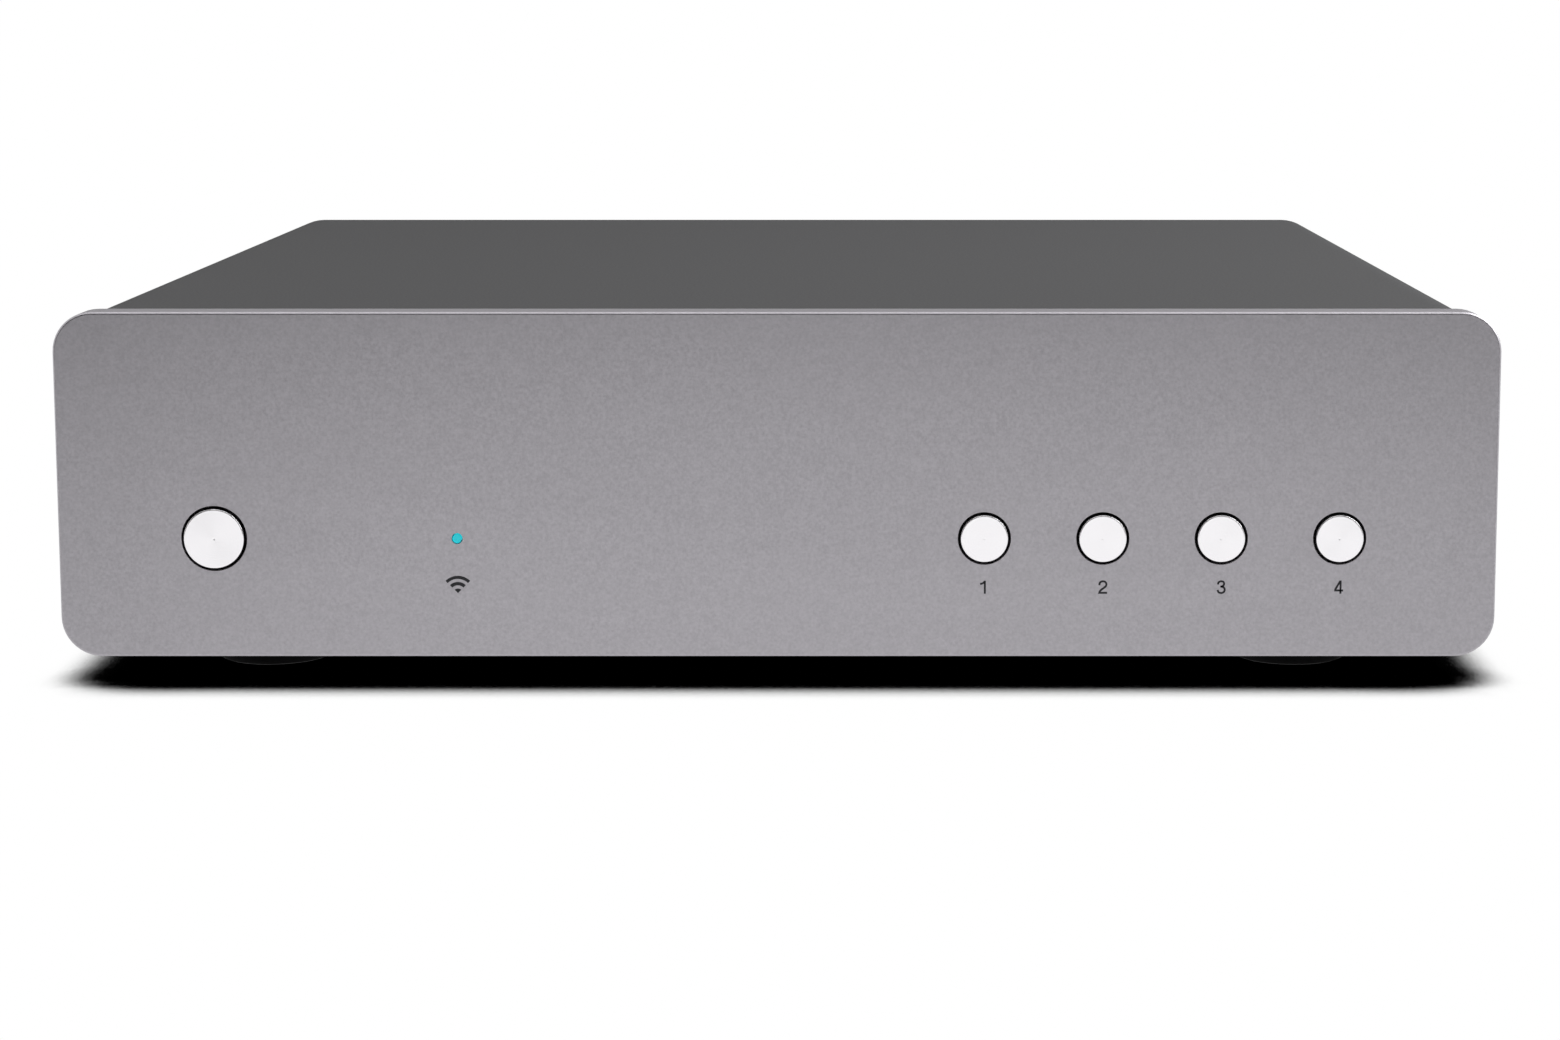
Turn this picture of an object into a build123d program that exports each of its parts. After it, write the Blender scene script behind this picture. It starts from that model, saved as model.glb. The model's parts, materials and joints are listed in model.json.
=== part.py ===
from build123d import *
import os

# A compact network music streamer. A thick aluminium front panel stands before a steel tray, and a
# folded steel cover wraps the tray. Five turned buttons press small switches on a board behind the
# panel, and the sockets stand in a row at the back.
# Sizes are in millimetres. X runs to the right as seen from the front, Y to the back and Z up.
# The origin is under the middle of the case, on the surface that it stands on.

# Front panel
panel_width = 215.0
panel_height = 52.0
panel_thickness = 5.0
panel_corner_radius = 6.0
panel_edge_chamfer = 0.3
panel_screw_side_inset = 11.5
panel_screw_edge_inset = 6.5
panel_screw_depth = 3.5
ground_clearance = 5.0

# Cover, a folded sleeve with an open underside
cover_length = 178.1
cover_thickness = 1.0
cover_corner_radius = 8.0
cover_side_inset = 0.3
cover_top_inset = 0.2
cover_flange_width = 7.2
cover_screw_pitch = 120.0
bracket_share = 0.27
bracket_width = 14.0
bracket_leg = 10.0
bracket_drop = 11.0

# Tray, a folded floor with a front wall
tray_thickness = 1.0
tray_edge_inset = 0.8
tray_flange_height = 7.0
tray_flange_relief = 13.0
wall_side_gap = 1.4
wall_top_gap = 0.6
tab_width = 12.0
tab_height = 8.4
tab_shares = (-0.23, 0.41)
tab_screw_height = 4.4
vent_length = 24.0
vent_width = 3.0
vent_pitch = 12.0
vent_row_pitch = 40.0
vent_columns = 5
vent_rows = 2

# Rear panel
rear_thickness = 1.2
rear_recess = 1.5
rear_edge_gap = 0.4
cutout_gap = 0.2
panel_hole_sides = 8

# Feet
foot_radius = 9.0
foot_sides = 40
foot_recess_radius = 4.5
foot_recess_depth = 3.2
foot_side_inset = 27.5
foot_front_inset = 20.1
foot_rear_inset = 15.3

# Screws. They and the holes that they pass through are drawn with six sides, and small rounds that
# repeat or lie out of sight with sixteen.
screw_sides = 6
round_sides = 16
screw_radius = 1.5
screw_gap = 0.1
screw_head_radius = 2.8
screw_head_height = 1.8
screw_length = 5.0
case_screw_length = 4.0
guide_screw_radius = 1.0
guide_screw_head_radius = 2.1
guide_screw_head_height = 1.4

# Buttons and what they press. All five stand on one line and share one travel.
button_rise = 18.0
button_proud = 0.4
button_gap = 0.4
button_travel = 0.5
cap_length = 4.6
cap_edge_chamfer = 0.2
spigot_length = 2.4
spigot_gap = 0.05
collar_gap = 0.05
collar_lip = 0.85
collar_thickness = 1.2
collar_clearance = 0.75
power_cap_radius = 4.5
power_place = 23.3
power_spigot_size = 5.0
power_stem_size = 4.0
preset_cap_radius = 3.55
preset_place = 23.5
preset_pitch = 17.7
preset_count = 4
preset_spigot_size = 3.8
preset_stem_size = 3.2

# Button guides
pocket_end_gap = 1.25
guide_bore_length = 3.0
guide_wall = 1.2
guide_ear = 6.0
guide_fit = 0.1

# Switches
stem_exit = 1.0
switch_size = 6.0
switch_depth = 3.4
switch_stem_size = 3.0
switch_stem_length = 2.0
switch_stem_proud = 0.9
switch_stem_gap = 0.15
switch_end_gap = 0.5

# Status light
light_place = 59.6
lens_radius = 0.7
pipe_size = 2.6
pipe_flange_size = 6.0
pipe_flange_thickness = 1.0
pipe_gap = 0.1
led_width = 2.8
led_height = 2.4
led_depth = 1.2
led_gap = 0.2

# Boards
board_thickness = 1.6
standoff_height = 6.0
standoff_flats = 5.5
front_board_side_gap = 9.8
front_board_height = 36.0
front_board_rise = 1.8
front_standoff_spacing = 120.0
front_standoff_edge = 3.5
main_board_front_gap = 27.2
main_board_side_gap = 2.4
main_board_rear_gap = 1.3
main_standoff_edge = 6.0
main_standoff_rear_inset = 28.0
psu_board_width = 52.0
psu_board_side_gap = 2.4
boards_gap = 8.0
psu_standoff_edge = 4.0
insulation_thickness = 0.4
insulation_gap = 0.3

# Ribbon cable between the front board and the main board
ribbon_inset = 28.0
ribbon_width = 12.0
ribbon_thickness = 0.3
ribbon_bend = 3.0
ribbon_rise = 9.0
ribbon_socket_width = 16.0
ribbon_socket_depth = 5.0
ribbon_socket_height = 4.0

# Sockets, placed across the back by shares of the panel's width
socket_reach = 9.0
jack_proud = 1.0
line_out_share = 0.31
coax_share = 0.205
optical_share = 0.125
ethernet_share = 0.02
usb_share = -0.085
antenna_shares = (-0.18, 0.41)
inlet_share = -0.36

# Phono sockets
phono_radius = 4.15
phono_wall = 0.5
phono_gap = 0.1
phono_core_gap = 0.05
phono_core_recess = 1.0
phono_bore_radius = 1.7
phono_bore_depth = 9.5
phono_spacing = 14.0
phono_rise = 6.5
phono_body_width = 11.0
phono_body_depth = 12.0
phono_body_top = 6.5

# Ethernet jack
ethernet_width = 16.0
ethernet_height = 13.5
ethernet_depth = 21.0
ethernet_mouth_width = 11.9
ethernet_mouth_height = 7.2
ethernet_mouth_depth = 13.0
ethernet_floor = 2.2
latch_width = 6.2
latch_height = 1.6
latch_tip_width = 3.4
latch_tip_height = 1.1

# USB jack
usb_width = 13.1
usb_height = 5.8
usb_depth = 14.0
usb_wall = 0.4
usb_lip = 0.7
usb_lip_depth = 0.4
usb_lift = 0.7
usb_fit = 0.05
usb_block_depth = 4.5
usb_tongue_width = 11.0
usb_tongue_thickness = 1.9
usb_tongue_recess = 1.2
usb_tongue_drop = 0.7

# Optical jack and its shutter
optical_width = 9.8
optical_height = 10.0
optical_depth = 13.5
optical_mouth = 8.4
optical_mouth_depth = 10.0
optical_mouth_chamfer = 1.4
optical_floor = 0.8
shutter_thickness = 0.8
shutter_setback = 0.5
shutter_gap = 0.2
shutter_axis_drop = 0.8
shutter_pin_radius = 0.4
shutter_pin_length = 0.5
shutter_pin_gap = 0.1

# Antenna sockets
antenna_rise = 39.0
antenna_radius = 3.1
antenna_base_radius = 3.4
antenna_shoulder = 0.3
antenna_bore_radius = 2.3
antenna_bore_depth = 7.0
antenna_contact_size = 0.9
antenna_contact_length = 5.0
antenna_flange_flats = 8.0
antenna_flange_thickness = 5.0
antenna_nut_flats = 8.0
antenna_nut_thickness = 2.0
antenna_nut_gap = 0.1
antenna_hole_gap = 0.2

# Mains inlet, a recess with two waisted round lobes
inlet_rise = 19.0
inlet_bezel_width = 26.0
inlet_bezel_height = 16.5
inlet_bezel_thickness = 1.6
inlet_bezel_chamfer = 1.2
inlet_body_width = 21.8
inlet_body_height = 12.4
inlet_body_depth = 15.0
inlet_lobe_radius = 3.85
inlet_lobe_spacing = 6.9
inlet_waist_height = 6.6
inlet_recess_depth = 13.6
inlet_clip_height = 0.8
inlet_clip_length = 4.0
inlet_clip_width = 5.0
inlet_clip_gap = 0.1
pin_radius = 1.2
pin_spacing = 8.6
pin_recess = 1.5
pin_fit = 0.05
lug_length = 4.0
lug_width = 2.4
lug_thickness = 0.8

# Parts on the main board
chip_thickness = 1.4
processor_size = 16.0
processor_place = (-34.0, -6.0)
converter_size = 9.0
converter_place = (40.0, 32.0)
heatsink_size = 26.0
heatsink_base = 2.0
heatsink_fin_height = 9.0
heatsink_fin_thickness = 1.2
heatsink_fin_count = 7
module_width = 44.0
module_depth = 36.0
module_thickness = 1.2
module_lift = 4.0
module_place = (26.0, -12.0)
module_strip_width = 3.0
module_strip_length = 28.0
module_port_size = 2.6
module_port_height = 1.6
module_port_edge = 4.0
module_port_spacing = 12.0
shield_width = 30.0
shield_depth = 22.0
shield_height = 3.4
shield_wall = 0.4
shield_setback = 4.0
header_width = 8.0
header_depth = 6.0
header_height = 7.0
header_side_gap = 3.0
header_place = -30.0

# Parts on the supply board
terminal_width = 16.0
terminal_depth = 8.0
terminal_height = 11.0
transformer_place = (10.0, 4.0)
transformer_base_size = 24.0
transformer_base_height = 3.0
transformer_core_width = 24.0
transformer_core_depth = 9.0
transformer_core_height = 17.0
transformer_core_wall = 4.0
transformer_coil_radius = 8.5
transformer_coil_gap = 1.5
bulk_capacitor_radius = 8.0
bulk_capacitor_height = 24.0
bulk_capacitor_offset = -15.0
bulk_capacitor_rear_inset = 25.0
output_capacitor_radius = 4.0
output_capacitor_height = 14.0
output_capacitor_offset = -6.0
output_capacitor_front_inset = 17.0
output_capacitor_pitch = 11.0
output_capacitor_count = 2

# Leads inside the case
lead_size = 1.8
lead_bend = 4.5
lead_rise = 10.0
flat_lead_width = 5.0
mains_lead_bend = 3.0
mains_lead_run = 11.5
pigtail_size = 1.2
pigtail_bend = 6.0
pigtail_run = 14.0

BACK = Axis.Y.direction
UP = Axis.Z.direction
RIGHT = Axis.X.direction

# Depths, from the front to the back
overall_depth = button_proud + panel_thickness + cover_length - rear_recess + socket_reach
cap_front_y = -overall_depth / 2
front_face_y = cap_front_y + button_proud
panel_back_y = front_face_y + panel_thickness
wall_back_y = panel_back_y + tray_thickness
cap_back_y = cap_front_y + cap_length
collar_front_y = panel_back_y + collar_gap
collar_back_y = collar_front_y + collar_thickness
pocket_floor_y = collar_back_y + button_travel + pocket_end_gap
guide_back_y = pocket_floor_y + guide_bore_length
plunger_end_y = guide_back_y + stem_exit
front_board_y = plunger_end_y + switch_stem_proud + switch_depth
front_board_back_y = front_board_y + board_thickness
cover_rear_y = panel_back_y + cover_length
rear_outer_y = cover_rear_y - rear_recess
rear_inner_y = rear_outer_y - rear_thickness
socket_end_y = rear_outer_y + socket_reach
jack_face_y = rear_outer_y + jack_proud
inlet_back_y = rear_outer_y - inlet_body_depth
lug_end_y = inlet_back_y - lug_length
foot_front_y = panel_back_y + foot_front_inset
foot_rear_y = rear_inner_y - foot_rear_inset

# Heights, from the ground up
panel_top_z = ground_clearance + panel_height
panel_mid_z = ground_clearance + panel_height / 2
button_z = ground_clearance + button_rise
cover_bottom_z = ground_clearance + cover_top_inset
cover_height = panel_height - 2 * cover_top_inset
cover_inner_top_z = panel_top_z - cover_top_inset - cover_thickness
tray_bottom_z = cover_bottom_z + cover_thickness
tray_floor_z = tray_bottom_z + tray_thickness
board_bottom_z = tray_floor_z + standoff_height
board_top_z = board_bottom_z + board_thickness
front_board_bottom_z = tray_floor_z + front_board_rise
front_board_mid_z = front_board_bottom_z + front_board_height / 2
antenna_z = ground_clearance + antenna_rise
inlet_z = ground_clearance + inlet_rise
phono_low_z = board_top_z + phono_rise
phono_high_z = phono_low_z + phono_spacing
phono_core_radius = phono_radius - phono_wall - phono_core_gap

# Half widths and places across
cover_half_width = panel_width / 2 - cover_side_inset
cover_inner_radius = cover_corner_radius - cover_thickness
cover_flange_edge_x = cover_half_width - cover_corner_radius - cover_flange_width
cover_screw_x = cover_flange_edge_x + cover_flange_width / 2
tray_half_width = cover_half_width - cover_corner_radius - tray_edge_inset
wall_half_width = cover_half_width - cover_thickness - wall_side_gap
wall_top_z = cover_inner_top_z - wall_top_gap
power_x = power_place - panel_width / 2
light_x = light_place - panel_width / 2
preset_places = [
    panel_width / 2 - preset_place - preset_pitch * (preset_count - 1 - number)
    for number in range(preset_count)
]
panel_screw_x = panel_width / 2 - panel_screw_side_inset
panel_screw_heights = (ground_clearance + panel_screw_edge_inset, panel_top_z - panel_screw_edge_inset)
front_board_width = 2 * (wall_half_width - front_board_side_gap)
psu_board_left_x = psu_board_side_gap - tray_half_width
psu_board_x = psu_board_left_x + psu_board_width / 2
main_board_left_x = psu_board_left_x + psu_board_width + boards_gap
main_board_width = tray_half_width - main_board_side_gap - main_board_left_x
main_board_x = main_board_left_x + main_board_width / 2
main_board_rear_y = rear_inner_y - main_board_rear_gap
main_board_front_y = front_board_back_y + main_board_front_gap
main_board_depth = main_board_rear_y - main_board_front_y
main_board_y = main_board_rear_y - main_board_depth / 2
psu_board_depth = lug_end_y - mains_lead_run - main_board_front_y
psu_board_y = main_board_front_y + psu_board_depth / 2
ribbon_x = main_board_left_x + ribbon_inset
foot_x = panel_width / 2 - foot_side_inset
bracket_x = bracket_share * panel_width
tab_places = [share * panel_width for share in tab_shares]
line_out_x = line_out_share * panel_width
coax_x = coax_share * panel_width
optical_x = optical_share * panel_width
ethernet_x = ethernet_share * panel_width
usb_x = usb_share * panel_width
inlet_x = inlet_share * panel_width
antenna_places = [share * panel_width for share in antenna_shares]
screw_hole_radius = screw_radius + screw_gap
guide_screw_hole_radius = guide_screw_radius + screw_gap

os.makedirs("parts", exist_ok=True)


def upright(y):
    """A plane across the case at depth y, drawn as seen from the front."""
    return Plane.XZ.offset(-y)


def level(z):
    """A level plane at height z."""
    return Plane.XY.offset(z)


def stepped(*runs):
    """The outline of a stepped turned piece, from runs of (start, end, radius) along its axis."""
    points = [(runs[0][0], 0)]
    for start, end, radius in runs:
        points += [(start, radius), (end, radius)]
    return points + [(runs[-1][1], 0)]


def turned(origin, along, outline):
    """A turned solid, from an outline of (distance along the axis, radius) points."""
    square_to_it = BACK if along.cross(UP).length == 0 else UP
    with BuildPart() as piece:
        with BuildSketch(Plane(origin=origin, x_dir=along, z_dir=square_to_it)):
            with BuildLine():
                Polyline(*outline, close=True)
            make_face()
        revolve(axis=Axis(origin, along))
    return piece.part


def screw(seat, along, length, radius=screw_radius, head_radius=screw_head_radius,
          head_height=screw_head_height):
    """A screw whose head sits at seat and whose shank runs along the given direction."""
    seat_plane = Plane(origin=seat, x_dir=RIGHT, z_dir=along)
    with BuildPart() as piece:
        with BuildSketch(seat_plane):
            RegularPolygon(head_radius, screw_sides)
        extrude(amount=-head_height)
        with BuildSketch(seat_plane):
            RegularPolygon(radius, screw_sides)
        extrude(amount=length)
    return piece.part


def finish(piece, name):
    """Labels a finished piece and writes it under its name."""
    piece.part.label = name
    export_step(piece.part, f"parts/{name}.step")


# The five buttons, as (name, place across, cap radius, spigot size, stem size)
buttons = [("power", power_x, power_cap_radius, power_spigot_size, power_stem_size)]
for number, place in enumerate(preset_places, start=1):
    name = f"preset_{number}"
    buttons.append((name, place, preset_cap_radius, preset_spigot_size, preset_stem_size))


def collar_size(cap_radius):
    """The square collar that keeps a button from falling out forwards or turning."""
    return 2 * (cap_radius + button_gap + collar_lip)


def pocket_size(cap_radius):
    """The square room that a collar moves in."""
    return collar_size(cap_radius) + 2 * collar_clearance


# Screws that hold the two guides to the wall, as places across
power_reach = pocket_size(power_cap_radius) / 2 + guide_wall
preset_reach = pocket_size(preset_cap_radius) / 2 + guide_wall
power_guide_screws = [power_x - power_reach - guide_ear / 2, power_x + power_reach + guide_ear / 2]
preset_guide_screws = [
    (preset_places[0] + preset_places[1]) / 2,
    (preset_places[-2] + preset_places[-1]) / 2,
]
guide_screw_places = power_guide_screws + preset_guide_screws


def square_bar(place, start_y, end_y, size):
    """A square bar along a button's axis."""
    with BuildPart() as bar:
        with BuildSketch(upright(start_y)):
            with Locations((place, button_z)):
                Rectangle(size, size)
        extrude(amount=end_y - start_y, dir=BACK)
    return bar.part


# Front panel, with a bright chamfer round its face
with BuildPart() as front_panel:
    with BuildSketch(upright(front_face_y)):
        with Locations((0, panel_mid_z)):
            RectangleRounded(panel_width, panel_height, panel_corner_radius)
    extrude(amount=panel_thickness, dir=BACK)
    chamfer(front_panel.faces().sort_by(Axis.Y)[0].edges(), panel_edge_chamfer)
    with BuildSketch(upright(front_face_y)):
        for name, place, cap_radius, spigot_size, stem_size in buttons:
            with Locations((place, button_z)):
                Circle(cap_radius + button_gap)
        with Locations((light_x, button_z)):
            RegularPolygon(lens_radius + pipe_gap, round_sides)
    extrude(amount=panel_thickness, dir=BACK, mode=Mode.SUBTRACT)
    with BuildSketch(upright(panel_back_y)):
        for height in panel_screw_heights:
            with Locations((-panel_screw_x, height), (panel_screw_x, height)):
                RegularPolygon(screw_hole_radius, screw_sides)
    extrude(amount=-panel_screw_depth, dir=BACK, mode=Mode.SUBTRACT)
finish(front_panel, "front_panel")

# Each button is a turned cap, a moulded plunger whose spigot is glued into the cap's back, and the
# stem of the switch that the plunger presses
for name, place, cap_radius, spigot_size, stem_size in buttons:
    button_name = "power_button" if name == "power" else f"preset_button_{name[-1]}"
    switch_name = "power_switch" if name == "power" else f"preset_switch_{name[-1]}"
    with BuildPart() as cap:
        outline = [(0, 0), (0, cap_radius - cap_edge_chamfer), (cap_edge_chamfer, cap_radius)]
        outline += [(cap_length, cap_radius), (cap_length, 0)]
        add(turned((place, cap_front_y, button_z), BACK, outline))
        with BuildSketch(upright(cap_back_y)):
            with Locations((place, button_z)):
                Rectangle(spigot_size + 2 * spigot_gap, spigot_size + 2 * spigot_gap)
        extrude(amount=-spigot_length, dir=BACK, mode=Mode.SUBTRACT)
    finish(cap, f"{button_name}_cap")

    with BuildPart() as plunger:
        add(square_bar(place, cap_back_y - spigot_length, collar_front_y, spigot_size))
        add(square_bar(place, collar_front_y, collar_back_y, collar_size(cap_radius)))
        add(square_bar(place, collar_back_y, plunger_end_y, stem_size))
    finish(plunger, f"{button_name}_plunger")

    with BuildPart() as switch_stem:
        add(square_bar(place, plunger_end_y, plunger_end_y + switch_stem_length, switch_stem_size))
    finish(switch_stem, f"{switch_name}_stem")

# Switch bodies, square blocks on the front board with a blind hole for the stem
switch_front_y = front_board_y - switch_depth
stem_room = switch_stem_length - switch_stem_proud + button_travel + switch_end_gap
stem_hole_size = switch_stem_size + 2 * switch_stem_gap
with BuildPart() as tact_switch_bodies:
    for name, place, cap_radius, spigot_size, stem_size in buttons:
        add(square_bar(place, switch_front_y, front_board_y, switch_size))
    with BuildSketch(upright(switch_front_y)):
        for name, place, cap_radius, spigot_size, stem_size in buttons:
            with Locations((place, button_z)):
                Rectangle(stem_hole_size, stem_hole_size)
    extrude(amount=stem_room, dir=BACK, mode=Mode.SUBTRACT)
finish(tact_switch_bodies, "tact_switch_bodies")


def button_guide(left, right, height, places, cap_radius, stem_size, screw_places):
    """A moulded bar behind the wall, with a pocket for each collar and a bore for each stem."""
    pocket = pocket_size(cap_radius)
    bore = stem_size + 2 * guide_fit
    with BuildPart() as guide:
        with BuildSketch(upright(wall_back_y)):
            with Locations(((left + right) / 2, button_z)):
                Rectangle(right - left, height)
            with Locations(*[(place, button_z) for place in screw_places]):
                RegularPolygon(guide_screw_hole_radius, screw_sides, mode=Mode.SUBTRACT)
            with Locations(*[(place, button_z) for place in places]):
                Rectangle(bore, bore, mode=Mode.SUBTRACT)
        extrude(amount=guide_back_y - wall_back_y, dir=BACK)
        with BuildSketch(upright(wall_back_y)):
            with Locations(*[(place, button_z) for place in places]):
                Rectangle(pocket, pocket)
        extrude(amount=pocket_floor_y - wall_back_y, dir=BACK, mode=Mode.SUBTRACT)
    return guide


power_button_guide = button_guide(
    power_x - power_reach - guide_ear, power_x + power_reach + guide_ear, 2 * power_reach,
    [power_x], power_cap_radius, power_stem_size, power_guide_screws,
)
finish(power_button_guide, "power_button_guide")

preset_button_guide = button_guide(
    preset_places[0] - preset_reach, preset_places[-1] + preset_reach, 2 * preset_reach,
    preset_places, preset_cap_radius, preset_stem_size, preset_guide_screws,
)
finish(preset_button_guide, "preset_button_guide")

# Light pipe, a clear moulding whose thin round end is the lens in the panel
with BuildPart() as status_light_pipe:
    with BuildSketch(upright(front_face_y)):
        with Locations((light_x, button_z)):
            RegularPolygon(lens_radius, round_sides)
    extrude(amount=panel_thickness, dir=BACK)
    add(square_bar(light_x, panel_back_y, front_board_y - led_depth - led_gap, pipe_size))
    add(square_bar(light_x, wall_back_y, wall_back_y + pipe_flange_thickness, pipe_flange_size))
finish(status_light_pipe, "status_light_pipe")

with BuildPart() as status_led:
    with BuildSketch(upright(front_board_y)):
        with Locations((light_x, button_z)):
            Rectangle(led_width, led_height)
    extrude(amount=-led_depth, dir=BACK)
finish(status_led, "status_led")

# Front board, on four standoffs behind the wall
front_standoff_heights = (
    front_board_bottom_z + front_standoff_edge,
    front_board_bottom_z + front_board_height - front_standoff_edge,
)
front_standoff_places = [
    (side * front_standoff_spacing / 2, height) for side in (-1, 1) for height in front_standoff_heights
]
with BuildPart() as front_board:
    with BuildSketch(upright(front_board_y)):
        with Locations((0, front_board_mid_z)):
            Rectangle(front_board_width, front_board_height)
        with Locations(*front_standoff_places):
            RegularPolygon(screw_hole_radius, screw_sides, mode=Mode.SUBTRACT)
    extrude(amount=board_thickness, dir=BACK)
finish(front_board, "front_board")

# Cover, with two welded brackets that the rear panel is screwed to
with BuildPart() as wrap_cover:
    with BuildSketch(upright(panel_back_y)):
        with Locations((0, panel_mid_z)):
            RectangleRounded(2 * cover_half_width, cover_height, cover_corner_radius)
            RectangleRounded(
                2 * (cover_half_width - cover_thickness), cover_height - 2 * cover_thickness,
                cover_inner_radius, mode=Mode.SUBTRACT,
            )
        with Locations((0, cover_bottom_z)):
            Rectangle(2 * cover_flange_edge_x, 4 * cover_thickness, mode=Mode.SUBTRACT)
    extrude(amount=cover_length, dir=BACK)
    with BuildSketch(level(cover_bottom_z)):
        with GridLocations(2 * cover_screw_x, cover_screw_pitch, 2, 2):
            RegularPolygon(screw_hole_radius, screw_sides)
    extrude(amount=cover_thickness, mode=Mode.SUBTRACT)
    bracket_low_z = cover_inner_top_z - bracket_drop
    bracket_screw_z = bracket_low_z + (bracket_drop - cover_thickness) / 2
    for side in (-1, 1):
        with BuildSketch(Plane.YZ.offset(side * bracket_x)):
            with BuildLine():
                Polyline(
                    (rear_inner_y, cover_inner_top_z), (rear_inner_y, bracket_low_z),
                    (rear_inner_y - cover_thickness, bracket_low_z),
                    (rear_inner_y - cover_thickness, cover_inner_top_z - cover_thickness),
                    (rear_inner_y - bracket_leg, cover_inner_top_z - cover_thickness),
                    (rear_inner_y - bracket_leg, cover_inner_top_z),
                    close=True,
                )
            make_face()
        extrude(amount=bracket_width / 2, both=True)
        with BuildSketch(upright(rear_inner_y)):
            with Locations((side * bracket_x, bracket_screw_z)):
                RegularPolygon(screw_hole_radius, screw_sides)
        extrude(amount=-cover_thickness, dir=BACK, mode=Mode.SUBTRACT)
finish(wrap_cover, "wrap_cover")

# Tray: floor, front wall, low side flanges and two rear tabs
main_standoff_places = [
    (main_board_x + side * (main_board_width / 2 - main_standoff_edge), y) for side in (-1, 1)
    for y in (main_board_front_y + main_standoff_edge, main_board_rear_y - main_standoff_rear_inset)
]
psu_standoff_places = [
    (
        psu_board_x + side * (psu_board_width / 2 - psu_standoff_edge),
        psu_board_y + end * (psu_board_depth / 2 - psu_standoff_edge),
    )
    for side in (-1, 1) for end in (-1, 1)
]
tab_screw_z = tray_bottom_z + tab_screw_height
with BuildPart() as base_tray:
    with BuildSketch(level(tray_bottom_z)):
        with Locations((0, (panel_back_y + rear_inner_y) / 2)):
            Rectangle(2 * tray_half_width, rear_inner_y - panel_back_y)
    extrude(amount=tray_thickness)
    with BuildSketch(upright(panel_back_y)):
        with Locations((0, (tray_bottom_z + wall_top_z) / 2)):
            RectangleRounded(
                2 * wall_half_width, wall_top_z - tray_bottom_z, cover_inner_radius - wall_side_gap,
            )
    extrude(amount=tray_thickness, dir=BACK)
    flange_length = rear_inner_y - panel_back_y - 2 * tray_flange_relief
    with BuildSketch(level(tray_bottom_z)):
        for side in (-1, 1):
            flange_x = side * (tray_half_width - tray_thickness / 2)
            with Locations((flange_x, (panel_back_y + rear_inner_y) / 2)):
                Rectangle(tray_thickness, flange_length)
    extrude(amount=tray_flange_height)
    with BuildSketch(upright(rear_inner_y)):
        for place in tab_places:
            with Locations((place, tray_bottom_z + tab_height / 2)):
                Rectangle(tab_width, tab_height)
            with Locations((place, tab_screw_z)):
                RegularPolygon(screw_hole_radius, screw_sides, mode=Mode.SUBTRACT)
    extrude(amount=-tray_thickness, dir=BACK)
    with BuildSketch(level(tray_bottom_z)):
        with GridLocations(2 * cover_screw_x, cover_screw_pitch, 2, 2):
            RegularPolygon(screw_hole_radius, screw_sides)
        with Locations((0, (foot_front_y + foot_rear_y) / 2)):
            with GridLocations(2 * foot_x, foot_rear_y - foot_front_y, 2, 2):
                RegularPolygon(screw_hole_radius, screw_sides)
        with Locations((main_board_x, main_board_y)):
            with GridLocations(vent_pitch, vent_row_pitch, vent_columns, vent_rows):
                Rectangle(vent_width, vent_length)
    extrude(amount=tray_thickness, mode=Mode.SUBTRACT)
    with BuildSketch(upright(panel_back_y)):
        for name, place, cap_radius, spigot_size, stem_size in buttons:
            with Locations((place, button_z)):
                Rectangle(pocket_size(cap_radius), pocket_size(cap_radius))
        with Locations((light_x, button_z)):
            Rectangle(pipe_size + 2 * pipe_gap, pipe_size + 2 * pipe_gap)
        with Locations(*[(place, button_z) for place in guide_screw_places]):
            RegularPolygon(guide_screw_hole_radius, screw_sides)
        for height in panel_screw_heights:
            with Locations((-panel_screw_x, height), (panel_screw_x, height)):
                RegularPolygon(screw_hole_radius, screw_sides)
    extrude(amount=tray_thickness, dir=BACK, mode=Mode.SUBTRACT)
finish(base_tray, "base_tray")

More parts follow.
